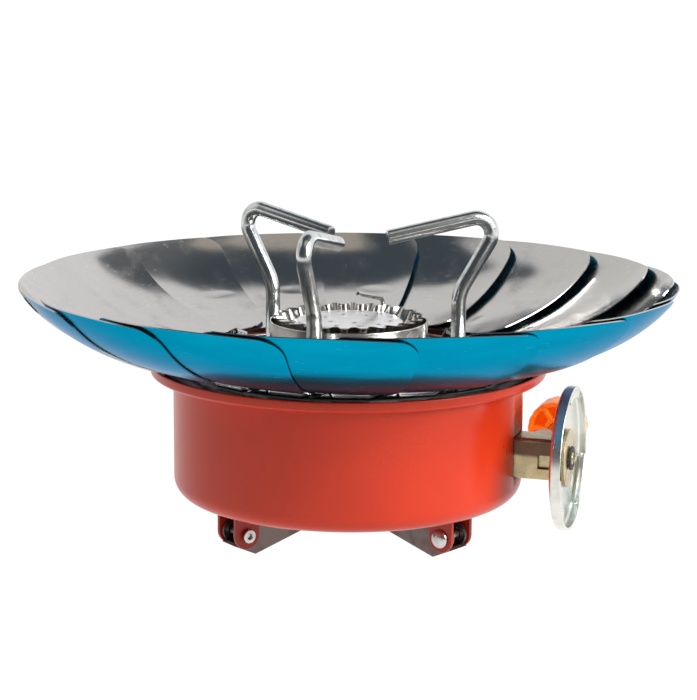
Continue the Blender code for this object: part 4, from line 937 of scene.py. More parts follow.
@dataclass
class Feet:
    """Three channel-section feet, their ear brackets and pins."""

    azimuths: tuple[float, ...] = (-128.0, -23.4, 104.0)
    circle: float = 41.0 * MM
    pin_drop: float = 7.4 * MM
    heel_drop: float = 6.8 * MM
    heel_in: float = 3.9 * MM
    toe_drop: float = 3.3 * MM
    toe_out: float = 3.6 * MM
    length: float = 33.0 * MM
    rise: float = 15.7
    width: float = 7.4 * MM
    flange: float = 3.7 * MM
    sheet: float = 1.0 * MM
    fold_share: float = 0.35
    edge: float = 0.18 * MM
    eye: float = 3.6 * MM
    eye_end: float = -282.0
    pin: float = 1.5 * MM
    pin_head: float = 2.9 * MM
    tail_reach_share: float = 0.8
    tail_mouth_share: float = 0.6
    tail_floor_share: float = 0.5
    tail_edge: float = 0.25 * MM
    ear_sheet: float = 1.2 * MM
    ear_radius: float = 4.3 * MM
    ear_edge: float = 0.22 * MM
    plate: float = 1.5 * MM
    stud: float = 1.8 * MM
    stud_head: float = 2.8 * MM
    stud_crown_share: float = 0.7

    def outline(self) -> tuple[list[Point], list[Point]]:
        """The foot's side view and the trough cut from it.

        Returns:
            Both outlines, measured from the pin.
        """
        rise = math.radians(self.rise)
        toe = Vector((-self.toe_out, -self.toe_drop))
        heel = Vector((self.heel_in, -self.heel_drop))
        run = Vector((math.cos(rise), math.sin(rise)))
        tip = heel + self.length * run
        up = Vector((-run.y, run.x))
        start = math.degrees(math.atan2(toe.y, toe.x))
        eye = arc((0, 0), (self.eye, self.eye), start, self.eye_end, 24)
        side = [tuple(toe), tuple(heel), tuple(tip), tuple(tip + up * self.flange)] + eye[::-1]
        along = (heel - toe).normalized()
        lift = Vector((-along.y, along.x)) * self.sheet
        trough = [
            tuple(toe + lift - along * OVERRUN),
            tuple(heel + up * self.sheet + run * self.sheet * self.fold_share),
            tuple(tip + up * self.sheet + run * OVERRUN),
            tuple(tip + up * (self.flange + OVERRUN) + run * OVERRUN),
            (self.heel_in, self.eye + OVERRUN),
            (-self.eye - OVERRUN, self.eye + OVERRUN),
        ]
        return side, trough

    def build(self, bench: Bench, cup: Cup) -> None:
        """Make the three feet.

        Args:
            bench: Where the pieces are made.
            cup: The cup that the studs hold to.
        """
        half = self.width / 2
        side, trough = self.outline()
        for index, azimuth in enumerate(self.azimuths, 1):
            pin = polar(self.circle, azimuth, self.heel_drop)
            place = Matrix.Translation(pin) @ spun(azimuth + 180)
            foot = bench.piece(f"folding_foot_{index}", moved(prism(side, -half, half), UPRIGHT),
                               [DARK_STEEL], [f"foot_{index}"], place)
            inner = half - self.sheet
            bench.cut(foot, moved(prism(trough, -inner, inner), UPRIGHT), place)
            bore = rod(self.pin + GAP, -half - OVERRUN, half + OVERRUN, Turn.PIN)
            bench.cut(foot, moved(bore, UPRIGHT), place)
            bench.soften(foot, self.edge)
            self.bracket(bench, index, place, self.pin_drop + cup.sheet + GAP)
            self.pivot(bench, index, place)

    def bracket(self, bench: Bench, index: int, place: Matrix, head: float) -> None:
        """The red bracket whose two ears hold the pin.

        Args:
            bench: Where the pieces are made.
            index: The foot's number.
            place: Where the pin stands, turned with the foot.
            head: The height of the stud's head above the pin.
        """
        ear_in = self.width / 2 + GAP
        ear_out = ear_in + self.ear_sheet
        top = self.pin_drop - GAP
        low = top - self.plate
        radius = self.ear_radius
        ear = arc((0, 0), (radius, radius), -180, 0, 32) + [(radius, top), (-radius, top)]
        item = bench.piece(f"foot_ears_{index}", moved(prism(ear, -ear_out, ear_out), UPRIGHT),
                           [EAR_ENAMEL], [f"foot_bracket_{index}"], place)
        wide = 2 * radius
        slot = [(-wide, -wide), (wide, -wide), (wide, low), (-wide, low)]
        bench.cut(item, moved(prism(slot, -ear_in, ear_in), UPRIGHT), place)
        bore = rod(self.pin + GAP, -ear_out - OVERRUN, ear_out + OVERRUN, Turn.PIN)
        bench.cut(item, moved(bore, UPRIGHT), place)
        bench.soften(item, self.ear_edge, 3)
        root, crown = low + self.plate / 2, head + self.stud / 2
        stud = [(0, root), (self.stud, root), (self.stud, head), (self.stud_head, head),
                (self.stud_head * self.stud_crown_share, crown), (0, crown)]
        bench.cut(item, revolve(eased(stud, EDGE), Turn.PIN), place, "UNION")

    def pivot(self, bench: Bench, index: int, place: Matrix) -> None:
        """The pin, with a domed head and a rolled tail.

        Args:
            bench: Where the pieces are made.
            index: The foot's number.
            place: Where the pin stands, turned with the foot.
        """
        shaft = self.width / 2 + 2 * GAP + self.ear_sheet
        head, pin = self.pin_head, self.pin
        dome = arc((0, -shaft), (head, pin), -90, 0, 12)
        tail = pin + 2 * GAP
        end = shaft + pin * self.tail_reach_share
        section = dome + [(pin, -shaft), (pin, shaft)]
        section += eased([(tail, shaft), (tail, end), (pin * self.tail_mouth_share, end),
                          (pin * self.tail_floor_share, shaft + GAP)], self.tail_edge)
        section.append((0, shaft + GAP))
        bench.piece(f"foot_rivet_{index}", moved(revolve(section, Turn.BUSH), UPRIGHT), [PIN_STEEL],
                    [f"foot_pin_{index}"], place)


@dataclass
class Ridge:
    """A raised lens or rib pressed into a petal's sheet."""

    across: float
    up: float
    half_wide: float
    half_long: float
    height: float
    lean: float = 0.0

    def rise(self, side: float, along: float) -> float:
        """Its height at a point of the sheet.

        Args:
            side: Distance from the petal's middle, in metres.
            along: Distance from its foot, in metres.

        Returns:
            The height in metres.
        """
        dx, dy = side - self.across, along - self.up
        turn = math.radians(self.lean)
        u = (dx * math.cos(turn) + dy * math.sin(turn)) / self.half_wide
        v = (dy * math.cos(turn) - dx * math.sin(turn)) / self.half_long
        reach = 1 - u * u - v * v
        return self.height * reach * reach * (3 - 2 * reach) if reach > 0 else 0.0


@dataclass
class Windscreen:
    """Seventeen overlapping petals, each hooked on the hinge wire."""

    count: int = 17
    sheet: float = 0.4 * MM
    outer_angle: float = 15.5
    inner_angle: float = 21.0
    first: float = 6.9
    length: float = 53.7 * MM
    foot_slope: float = 13.0
    rim_slope: float = 57.0
    curl: float = 1.9
    foot_out: float = 2.87 * MM
    foot_rise: float = 0.27 * MM
    lap: float = 0.52 * MM
    lift_start: float = -5.7
    lift: Point = (1.0 * MM, 2.0 * MM)
    inner_corner: float = 7.0 * MM
    outer_corner: float = 7.0 * MM
    lobe: float = 0.004 * MM
    foot_corner: float = 9.0 * MM
    tab: Point = (-7.6, -2.9)
    hinge: Vector = field(default_factory=lambda: Vector((52.5 * MM, -5.1 * MM, BASE + 42.7 * MM)))
    skew: float = 20.0
    wire: float = 0.7 * MM
    wrap: float = 235.0
    wrap_steps: int = 20
    slices: int = 40
    columns: int = 62
    rows: int = 58
    crowding: float = 1.25
    ridges: tuple[Ridge, ...] = (
        Ridge(-19 * MM, 25 * MM, 7.0 * MM, 2.6 * MM, 0.10 * MM, 8),
        Ridge(16 * MM, 25 * MM, 7.0 * MM, 2.6 * MM, 0.10 * MM, -8),
        Ridge(-6 * MM, 10.5 * MM, 2.0 * MM, 4.2 * MM, 0.12 * MM, 6),
        Ridge(5.5 * MM, 10.5 * MM, 2.0 * MM, 4.2 * MM, 0.12 * MM, -6),
    )

    def section(self, share: float) -> tuple[float, float, float]:
        """Radius, height and slope of the bowl at a share of the petal's length.

        Args:
            share: A share of the petal's length.

        Returns:
            The three values, the slope in radians.
        """
        foot, rim = math.radians(self.foot_slope), math.radians(self.rim_slope)
        radius, height = self.hinge.x + self.foot_out, self.hinge.z + self.foot_rise
        step = share * self.length / self.slices
        for i in range(self.slices):
            slope = foot + (rim - foot) * (share * (i + 0.5) / self.slices) ** self.curl
            radius += step * math.cos(slope)
            height += step * math.sin(slope)
        return radius, height, foot + (rim - foot) * share ** self.curl

    def place(self, index: int) -> Matrix:
        """A petal's place, with its origin on its hinge."""
        return spun(self.first + 360 * index / self.count) @ Matrix.Translation(self.hinge)

    def lean(self, degrees: float, share: float) -> float:
        """How far the sheet stands inside the bowl's middle surface.

        Args:
            degrees: The point's angle from the petal's middle.
            share: Its share of the petal's length.

        Returns:
            The distance in metres, inward.
        """
        inward = max((self.lift_start - degrees) / (self.lift_start + self.inner_angle), 0)
        lift = self.lift[0] + (self.lift[1] - self.lift[0]) * share
        return lift * inward * inward - self.lap * degrees / self.outer_angle

    def drop(self, distance: float, radius: float) -> float:
        """How far a rounded corner lies below the edge, at a distance from the side."""
        inside = max(radius - distance, 0)
        return radius - math.sqrt(max(radius * radius - inside * inside, 0))

    def grid(self, work: bmesh.types.BMesh, offset: float) -> list[list[bmesh.types.BMVert]]:
        """One skin of the petal.

        Args:
            work: The mesh that takes its vertices.
            offset: How far the skin lies above the middle of the sheet.

        Returns:
            Its vertices, by column and row.
        """
        foot, rim = self.section(0)[0], self.section(1)[0]
        middle = (self.outer_angle - self.inner_angle) / 2
        half = (self.outer_angle + self.inner_angle) / 2
        found = []
        for c in range(self.columns + 1):
            even = c / self.columns * 2 - 1
            degrees = middle + half * math.copysign(1 - (1 - abs(even)) ** self.crowding, even)
            to_side = math.radians(degrees + self.inner_angle)
            from_side = math.radians(self.outer_angle - degrees)
            drop = (self.drop(rim * to_side, self.inner_corner)
                    + self.drop(rim * from_side, self.outer_corner)
                    + self.lobe * (degrees - middle) ** 2)
            first = self.drop(foot * to_side, self.foot_corner) / self.length
            span = 1 - drop / self.length - first
            column = []
            for r in range(self.rows + 1):
                share = first + span * r / self.rows
                radius, height, slope = self.section(share)
                side = radius * math.radians(degrees)
                lean = self.lean(degrees, share) + offset
                lean += sum(x.rise(side, share * self.length) for x in self.ridges)
                point = polar(radius - lean * math.sin(slope), degrees, height + lean * math.cos(slope))
                column.append(work.verts.new(point - self.hinge))
            found.append(column)
        return found

    def mesh(self) -> bpy.types.Mesh:
        """The petal's sheet, with its skins, its edge and its hooked tab.

        Returns:
            The mesh that all petals share.
        """
        work = bmesh.new()
        half = self.sheet / 2
        inside, outside = self.grid(work, half), self.grid(work, -half)
        for skin, face in ((inside, Face.INSIDE), (outside, Face.OUTSIDE)):
            for left, right in zip(skin, skin[1:]):
                for r in range(self.rows):
                    made = work.faces.new((left[r], right[r], right[r + 1], left[r + 1]))
                    made.material_index = face
        rims = [[s[0][r] for r in range(self.rows + 1)] + [c[-1] for c in s[1:-1]]
                + [s[-1][r] for r in range(self.rows, -1, -1)] + [c[0] for c in s[-2:0:-1]]
                for s in (inside, outside)]
        for i in range(len(rims[0])):
            k = (i + 1) % len(rims[0])
            made = work.faces.new((rims[0][i], rims[0][k], rims[1][k], rims[1][i]))
            made.material_index = Face.EDGE
        bmesh.ops.recalc_face_normals(work, faces=work.faces)
        self.hook(work)
        mesh = bpy.data.meshes.new("petal")
        work.to_mesh(mesh)
        work.free()
        return mesh

    def hook(self, work: bmesh.types.BMesh) -> None:
        """Add the tab that hooks round the hinge wire.

        Args:
            work: The petal's mesh.
        """
        skew = math.radians(self.skew)
        line = Vector((0, math.cos(skew), math.sin(skew)))
        out = Vector((1, 0, 0))
        over = out.cross(line)
        radius, height, slope = self.section(0)
        edge = []
        for degrees in self.tab:
            lean = self.lean(degrees, 0)
            edge.append(polar(radius - lean * math.sin(slope), degrees, height + lean * math.cos(slope))
                        - self.hinge)
        sides = [p.y / math.cos(skew) for p in edge]
        hook = self.wire + GAP + self.sheet / 2
        skins = []
        for offset in (self.sheet / 2, -self.sheet / 2):
            lift = Vector((0, 0, offset))
            rows = [[work.verts.new(p + lift + out * self.sheet) for p in edge]]
            for i in range(self.wrap_steps + 1):
                a = math.radians(90 + self.wrap * i / self.wrap_steps)
                turn = (hook + offset) * (math.cos(a) * out + math.sin(a) * over)
                rows.append([work.verts.new(line * side + turn) for side in sides])
            skins.append(rows)
        before = len(work.faces)
        for rows in skins:
            for low, high in zip(rows, rows[1:]):
                work.faces.new((low[0], low[1], high[1], high[0]))
        ring = [[r[0] for r in rows] + [r[1] for r in reversed(rows)] for rows in skins]
        for i in range(len(ring[0])):
            k = (i + 1) % len(ring[0])
            work.faces.new((ring[0][i], ring[0][k], ring[1][k], ring[1][i]))
        work.faces.ensure_lookup_table()
        bmesh.ops.recalc_face_normals(work, faces=work.faces[before:])

    def build(self, bench: Bench) -> None:
        """Make the petals.

        Args:
            bench: Where the pieces are made.
        """
        mesh = self.mesh()
        for index in range(self.count):
            name = f"{index + 1:02d}"
            bench.piece(f"windscreen_petal_{name}", mesh, [BARE_SHEET, BLUE_FILM, BARE_SHEET],
                        [f"petal_{name}"], self.place(index))


@dataclass
class Seat:
    """Hinge ring, hinge wire, heat shield and its screws."""

    ring_sheet: float = 1.0 * MM
    ring_top: float = 40.1 * MM
    ring_inner: float = 46.0 * MM
    ring_outer: float = 57.4 * MM
    hinge_half: float = 3.3 * MM
    wire_ends: Point = (1.3 * MM, 1.6 * MM)
    shield_sheet: float = 0.8 * MM
    shield_radius: float = 50.3 * MM
    shield_edge: float = 0.5 * MM
    dish: float = 1.6 * MM
    dish_radius: float = 44.6 * MM
    post_circle: float = 47.2 * MM
    screw_azimuths: tuple[float, ...] = (90.0, 210.0, 330.0)
    screw_radius: float = 1.25 * MM
    screw_head: float = 2.3 * MM
    screw_rise: float = 1.3 * MM
    screw_dome_share: float = 0.6
    cross_long_share: float = 0.62
    cross_wide_share: float = 0.12
    cross_floor_share: float = 0.45

    def build(self, bench: Bench, cup: Cup, screen: Windscreen, supports: "PotSupports",
              burner: "Burner", igniter: "Igniter") -> None:
        """Make the ring, the wire, the shield and the screws.

        Args:
            bench: Where the pieces are made.
            cup: The cup that carries the ring.
            screen: The petals that hook on the wire.
            supports: The supports that pass the shield.
            burner: The burner, whose tube passes the shield.
            igniter: The igniter, whose insulator passes the shield.
        """
        top = BASE + self.ring_top
        seat = BASE + cup.wall_top + cup.sheet + GAP
        share = (self.ring_outer - cup.radius + cup.sheet) / cup.shoulder_reach
        outer_seat = seat + (cup.shoulder_rise - cup.sheet) * (1 - math.sqrt(1 - share * share))
        skirt = self.ring_outer - self.ring_sheet
        section = [(self.ring_inner, top - self.ring_sheet), (skirt, top - self.ring_sheet),
                   (skirt, outer_seat), (self.ring_outer, outer_seat), (self.ring_outer, top),
                   (self.ring_inner, top)]
        ring = bench.piece("petal_ring", revolve(eased(section, EDGE), Turn.PLATE), [RING_SHADE],
                           ["hinge_ring"])
        low, high = top - 4 * OVERRUN, top + 2 * OVERRUN
        holes = [moved(rod(self.screw_radius + GAP, low, high, Turn.HOLE), beside(self.post_circle, a))
                 for a in self.screw_azimuths]
        bench.cut(ring, joined(holes))
        self.wire(bench, screen, top)
        self.shield(bench, supports, burner, igniter, top)

    def wire(self, bench: Bench, screen: Windscreen, top: float) -> None:
        """The wire that the petals' tabs hook on.

        Args:
            bench: Where the pieces are made.
            screen: The petals that hook on it.
            top: The height of the ring's upper face.
        """
        skew = math.radians(screen.skew)
        low = top + GAP + screen.wire
        path = []
        for i in range(screen.count):
            place = screen.place(i)
            for along, height in ((-self.hinge_half - self.wire_ends[0], low), (-self.hinge_half, None),
                                  (self.hinge_half, None), (self.hinge_half + self.wire_ends[1], low)):
                point = place @ Vector((0, along * math.cos(skew), along * math.sin(skew)))
                if height is not None:
                    point.z = height
                path.append(point)
        bench.piece("petal_wire", sweep(path, screen.wire, 14, closed=True), [DIM_WIRE], ["hinge_wire"])

    def shield(self, bench: Bench, supports: "PotSupports", burner: "Burner", igniter: "Igniter",
               top: float) -> None:
        """The dished heat shield and the screws that hold it.

        Args:
            bench: Where the pieces are made.
            supports: The supports that pass it.
            burner: The burner, whose tube passes it.
            igniter: The igniter, whose insulator passes it.
            top: The height of the ring's upper face.
        """
        under = top + GAP
        face = under + self.shield_sheet
        hole = burner.tube_radius + GAP
        slope = self.dish_radius - self.dish
        section = [(hole, under - self.dish), (slope, under - self.dish), (self.dish_radius, under),
                   (self.shield_radius, under), (self.shield_radius, face), (self.dish_radius, face),
                   (slope, face - self.dish), (hole, face - self.dish)]
        shield = bench.piece("shield_plate", revolve(eased(section, self.shield_edge, 4), Turn.PLATE),
                             [PLAIN_STAINLESS], ["heat_shield"])
        low, high = under - self.dish - OVERRUN, face + OVERRUN
        holes = [moved(rod(supports.bush_outer() + GAP, low, high, Turn.PIN), beside(supports.circle, a))
                 for a in supports.azimuths]
        holes += [moved(rod(self.screw_radius + GAP, low, high, Turn.HOLE), beside(self.post_circle, a))
                  for a in self.screw_azimuths]
        holes.append(moved(rod(igniter.insulator_radius + GAP, low, high, Turn.HOLE),
                           beside(igniter.circle, igniter.azimuth)))
        bench.cut(shield, joined(holes))
        self.screws(bench, top - self.ring_sheet, face + GAP)

    def screws(self, bench: Bench, tip: float, low: float) -> None:
        """The cross-head screws.

        Args:
            bench: Where the pieces are made.
            tip: The height of their tips.
            low: The height of the underside of their heads.
        """
        shank, head, rise = self.screw_radius, self.screw_head, self.screw_rise
        dome = rise * self.screw_dome_share
        section = [(0, tip), (shank, tip), (shank, low), (head, low)]
        section += arc((0, low + rise - dome), (head, dome), 0, 90, 8)
        arm, blade = head * self.cross_long_share, head * self.cross_wide_share
        floor = low + rise * self.cross_floor_share
        for index, azimuth in enumerate(self.screw_azimuths, 1):
            place = beside(self.post_circle, azimuth)
            screw = bench.piece(f"pan_screw_{index}", revolve(section, Turn.PIN), [BRIGHT_ZINC],
                                [f"shield_screw_{index}"], place)
            for a, b in ((arm, blade), (blade, arm)):
                bench.cut(screw, prism([(-a, -b), (a, -b), (a, b), (-a, b)], floor, low + 2 * rise), place)


@dataclass
class PotSupports:
    """Three bent-wire pot supports in flanged bushes."""

    azimuths: tuple[float, ...] = (30.0, 150.0, 270.0)
    circle: float = 35.6 * MM
    wire: float = 2.35 * MM
    swivels: tuple[float, ...] = (0.0, 10.0, 0.0)
    kink_height: float = 61.6 * MM
    bend_radius: float = 51.3 * MM
    bend_height: float = 87.6 * MM
    tip_radius: float = 12.2 * MM
    tip_height: float = 80.0 * MM
    bend: float = 5.2 * MM
    kink: float = 13.0 * MM
    foot: float = 27.0 * MM
    bush_wall: float = 1.2 * MM
    bush_flange: float = 2.4 * MM
    bush_length: float = 10.0 * MM
    collar_reach: float = 1.1 * MM
    collar_height: float = 1.6 * MM
    end_edge: float = 0.45 * MM

    def bush_outer(self) -> float:
        """Outer radius of the bush."""
        return self.wire + GAP + self.bush_wall

    def path(self) -> list[Vector]:
        """The wire's centre line; +X points away from the burner.

        Returns:
            The line's points, from the foot to the tip.
        """
        corners = [
            Vector((0, 0, BASE + self.foot)),
            Vector((0, 0, BASE + self.kink_height)),
            Vector((self.bend_radius - self.circle, 0, BASE + self.bend_height)),
            Vector((self.tip_radius - self.circle, 0, BASE + self.tip_height)),
        ]
        return rounded_path(corners, [self.kink, self.bend], 20)

    def build(self, bench: Bench, seat: Seat) -> None:
        """Make the supports and their bushes.

        Args:
            bench: Where the pieces are made.
            seat: The seat whose shield carries them.
        """
        plate = BASE + seat.ring_top + GAP + seat.shield_sheet - seat.dish
        wall = self.bush_outer()
        bore = self.wire + GAP
        low = plate + GAP
        top = low + self.bush_wall
        bottom = low - self.bush_length
        bush = [(bore, bottom), (wall, bottom), (wall, low), (wall + self.bush_flange, low),
                (wall + self.bush_flange, top), (bore, top)]
        grip, reach = self.wire - GAP, self.wire + self.collar_reach
        for index, azimuth in enumerate(self.azimuths, 1):
            place = beside(self.circle, azimuth) @ spun(self.swivels[index - 1])
            bench.piece(f"flanged_bush_{index}", revolve(eased(bush, SOFT_EDGE), Turn.BUSH), [GREY_ZINC],
                        [f"support_bush_{index}"], place)
            wire = sweep(self.path(), self.wire, Turn.VENT, ease=self.end_edge)
            support = bench.piece(f"pan_support_{index}", wire, [BRIGHT_ZINC], [f"pot_support_{index}"],
                                  place)
            for start in (top + GAP, bottom - GAP - self.collar_height):
                ring = [(grip, start), (reach, start), (reach, start + self.collar_height),
                        (grip, start + self.collar_height)]
                bench.cut(support, revolve(eased(ring, SOFT_EDGE), Turn.VENT), place, "UNION")


@dataclass
class Burner:
    """Mixing tube, cup, pleated strip and cap."""

    tube_radius: float = 7.0 * MM
    tube_wall: float = 0.8 * MM
    radius: float = 24.7 * MM
    sheet: float = 0.5 * MM
    top: float = 54.6 * MM
    fillet: float = 5.0 * MM
    pleat_count: int = 24
    pleat_sheet: float = 0.3 * MM
    pleat_top: float = 55.9 * MM
    pleat_bottom: float = 50.4 * MM
    pleat_outer: float = 23.7 * MM
    pleat_inner: float = 20.4 * MM
    pleat_root: float = 18.6 * MM
    root_wave: float = 0.35 * MM
    pleat_turn: float = 45.0
    fold_steps: int = 20
    fold_levels: int = 6
    fold_crispness: float = 1.5
    cap_radius: float = 17.6 * MM
    cap_top: float = 54.9 * MM
    cap_bottom: float = 49.0 * MM
    cap_sheet: float = 0.8 * MM
    cap_shoulder: float = 2.4 * MM
    cap_edge: float = 0.06 * MM
    stem_share: float = 0.62
    port: float = 0.75 * MM
    port_rings: tuple[tuple[float, int], ...] = ((13.4 * MM, 12), (7.6 * MM, 6))

    def build(self, bench: Bench, seat: Seat) -> None:
        """Make the burner's visible pieces.

        Args:
            bench: Where the pieces are made.
            seat: The seat whose shield carries it.
        """
        flange = BASE + seat.ring_top + GAP + seat.shield_sheet - seat.dish + GAP
        floor = flange + self.tube_wall + GAP
        rim = BASE + self.top
        fillet, sheet = self.fillet, self.sheet
        centre = (self.radius - fillet, floor + fillet)
        inner = fillet - sheet
        lip = sheet / 2
        section = [(self.tube_radius - self.tube_wall, floor)] + arc(centre, (fillet, fillet), -90, 0, 14)
        section += arc((self.radius - lip, rim - lip), (lip, lip), 0, 180, 8)
        section += arc(centre, (inner, inner), 0, -90, 12)
        section += [(self.tube_radius - self.tube_wall, floor + sheet)]
        bench.piece("burner_bowl", revolve(section, Turn.PLATE), [BURNER_STEEL], ["burner_cup"])
        bench.piece("burner_strip", self.pleats(), [BURNER_STEEL], ["burner_pleats"])
        self.cap(bench, floor + sheet + GAP)

    def pleats(self) -> bmesh.types.BMesh:
        """The corrugated strip whose folds leave the flame ports.

        Returns:
            The strip's mesh.
        """
        levels, crisp = self.fold_levels, self.fold_crispness
        count = self.pleat_count * self.fold_steps
        middle, reach = (self.pleat_outer + self.pleat_inner) / 2, (self.pleat_outer - self.pleat_inner) / 2
        work = bmesh.new()
        rows = []
        for side, order in ((-1, range(levels + 1)), (1, range(levels, -1, -1))):
            for level in order:
                share = level / levels
                height = BASE + self.pleat_bottom + (self.pleat_top - self.pleat_bottom) * share
                ring = []
                for i in range(count):
                    degrees = 360 * i / count
                    fold = math.cos(math.radians(self.pleat_count * degrees + self.pleat_turn))
                    wave = math.tanh(crisp * fold) / math.tanh(crisp)
                    top = middle + wave * reach
                    low = self.pleat_root + wave * self.root_wave
                    radius = low + (top - low) * share + side * self.pleat_sheet / 2
                    ring.append(work.verts.new(polar(radius, degrees, height)))
                rows.append(ring)
        for low, high in zip(rows, rows[1:] + rows[:1]):
            for i in range(count):
                k = (i + 1) % count
                work.faces.new((low[i], low[k], high[k], high[i]))
        bmesh.ops.recalc_face_normals(work, faces=work.faces)
        return work

    def cap(self, bench: Bench, low: float) -> None:
        """The flat cap with its small ports.

        Args:
            bench: Where the pieces are made.
            low: The height of the stem's lower end.
        """
        stem = self.cap_radius * self.stem_share
        top = BASE + self.cap_top
        turn = (self.cap_radius - self.cap_shoulder, top - self.cap_shoulder)
        under = self.cap_shoulder - self.cap_sheet
        skirt = BASE + self.cap_bottom
        section = [(0, top)] + arc(turn, (self.cap_shoulder, self.cap_shoulder), 90, 0, 12)
        section += [(self.cap_radius, skirt), (stem, low), (stem - self.cap_sheet, low),
                    (self.cap_radius - self.cap_sheet, skirt + self.cap_sheet / 2)]
        section += arc(turn, (under, under), 0, 90, 8) + [(0, top - self.cap_sheet)]
        cap = bench.piece("burner_lid", revolve(section, Turn.PLATE), [CAP_STEEL], ["burner_cap"])
        holes = [moved(rod(self.port, top - 2 * OVERRUN, top + OVERRUN, Turn.PORT),
                       beside(circle, 360 * i / count))
                 for circle, count in self.port_rings for i in range(count)]
        bench.cut(cap, joined(holes))
        bench.soften(cap, self.cap_edge)


@dataclass
class Connector:
    """Sleeve, cartridge collar, probe, seal and the valve's knob."""

    height: float = 15.6 * MM
    start: float = 50.0 * MM
    end: float = 68.2 * MM
    tall: float = 12.8 * MM
    wide: float = 10.4 * MM
    wall: float = 1.2 * MM
    corner: float = 0.9 * MM
    sleeve_edge: float = 0.15 * MM
    window: float = 4.2 * MM
    window_at: float = 64.0 * MM
    window_drop: float = 0.8 * MM
    valve_start: float = 47.0 * MM
    valve_end: float = 67.0 * MM
    gland: float = 4.2 * MM
    gland_end: float = 19.2 * MM
    collar_radius: float = 22.2 * MM
    collar_depth: float = 3.5 * MM
    collar_sheet: float = 0.9 * MM
    lug_count: int = 3
    lug_angle: float = 46.0
    lug_reach: float = 3.4 * MM
    lug_first: float = 35.0
    lug_slant: float = 3.0
    probe: float = 3.7 * MM
    probe_flange: float = 9.0 * MM
    probe_flange_sheet: float = 1.0 * MM
    probe_pin: float = 1.0 * MM
    probe_pin_reach: float = 1.0 * MM
    seal_wall: float = 1.8 * MM
    seal_height: float = 0.8 * MM
    spindle_at: float = 59.2 * MM
    spindle: float = 2.0 * MM
    spindle_first: float = 2.0 * MM
    knob_back: float = 36.0 * MM
    knob_depth: float = 10.0 * MM
    knob_radius: float = 9.0 * MM
    knob_flutes: int = 18
    flute_steps: int = 16
    flute_depth: float = 0.18 * MM
    knob_wall: float = 1.5 * MM
    knob_hub: float = 3.6 * MM
    knob_spoke: float = 1.2 * MM
    knob_spokes: int = 6
    knob_face: float = 2.4 * MM

    def outline(self, grow: float) -> list[Point]:
        """The sleeve's rounded section, seen along the connector.

        Args:
            grow: How far the section stands outside the sleeve.

        Returns:
            The section's points.
        """
        tall, wide, corner = self.tall / 2 + grow, self.wide / 2 + grow, max(self.corner + grow, GAP)
        points: list[Point] = []
        for start, sx, sy in ((0, 1, 1), (90, -1, 1), (180, -1, -1), (270, 1, -1)):
            centre = (sx * (tall - corner), sy * (wide - corner))
            points += arc(centre, (corner, corner), start, start + 90, 10)
        return points

    def side(self) -> Matrix:
        """The valve spindle's place, pointing along +Y."""
        turn = Matrix.Rotation(math.radians(-90), 4, "X")
        return Matrix.Translation((self.spindle_at, 0, BASE + self.height)) @ turn

    def build(self, bench: Bench) -> None:
        """Make the connector's pieces.

        Args:
            bench: Where the pieces are made.
        """
        lay = about_x(BASE + self.height)
        sleeve = bench.piece("connector_tube", moved(prism(self.outline(0), self.start, self.end), lay),
                             [SLEEVE_CHROMATE], ["connector_sleeve"])
        hollow = prism(self.outline(-self.wall), self.start - OVERRUN, self.end + OVERRUN)
        bench.cut(sleeve, moved(hollow, lay))
        bench.cut(sleeve, moved(rod(self.gland + GAP, self.wide / 4, self.wide, Turn.PIN), self.side()))
        half = self.window / 2
        frame_line = [(-half, -half), (half, -half), (half, half), (-half, half)]
        window = prism(frame_line, self.wide / 4, self.wide)
        middle = Matrix.Translation((self.window_at, 0, BASE + self.height - self.window_drop))
        bench.cut(sleeve, moved(window, middle @ UPRIGHT))
        bench.soften(sleeve, self.sleeve_edge)
        body = prism(self.outline(-self.wall - GAP), self.valve_start, self.valve_end)
        valve = bench.piece("valve_block", moved(body, lay), [CHROMATE], ["valve_body"])
        gland = rod(self.gland, 0, self.gland_end, Turn.STUB)
        bench.cut(valve, moved(gland, self.side()), operation="UNION")
        bore = rod(self.spindle + GAP, self.spindle_first - GAP, self.gland_end + OVERRUN, Turn.PIN)
        bench.cut(valve, moved(bore, self.side()))
        bench.soften(valve, self.sleeve_edge)
        self.collar(bench, lay)
        self.knob(bench)

    def collar(self, bench: Bench, lay: Matrix) -> None:
        """The cup whose lugs lock a cartridge.

        Args:
            bench: Where the pieces are made.
            lay: Turns a piece from +Z to the connector's axis.
        """
        back, sheet = self.end + GAP, self.collar_sheet
        front, rim = back + self.collar_depth, self.collar_radius
        corner = 1.5 * sheet
        mouth = self.probe + GAP
        section = [(mouth, back)] + arc((rim - corner, back + corner), (corner, corner), -90, 0, 8)
        section += eased([(rim, front), (rim - sheet, front), (rim - sheet, back + corner)], EDGE)
        section += [(rim - corner, back + sheet), (mouth, back + sheet)]
        collar = bench.piece("cartridge_collar", moved(revolve(section, Turn.PLATE), lay), [COLLAR_ZINC],
                             ["collar_cup"])
        lugs = []
        outside, inside = rim - sheet / 2, rim - self.lug_reach
        for i in range(self.lug_count):
            start = self.lug_first + 360 * i / self.lug_count
            end = start + self.lug_angle
            outer = arc((0, 0), (outside, outside), start, end, 24)
            inner = arc((0, 0), (inside, inside), end - self.lug_slant, start + self.lug_slant, 20)
            lugs.append(prism(outer + inner, front - sheet, front - sheet / 8))
        bench.cut(collar, moved(joined(lugs), lay), operation="UNION")
        self.nozzle(bench, lay, back + sheet + GAP)

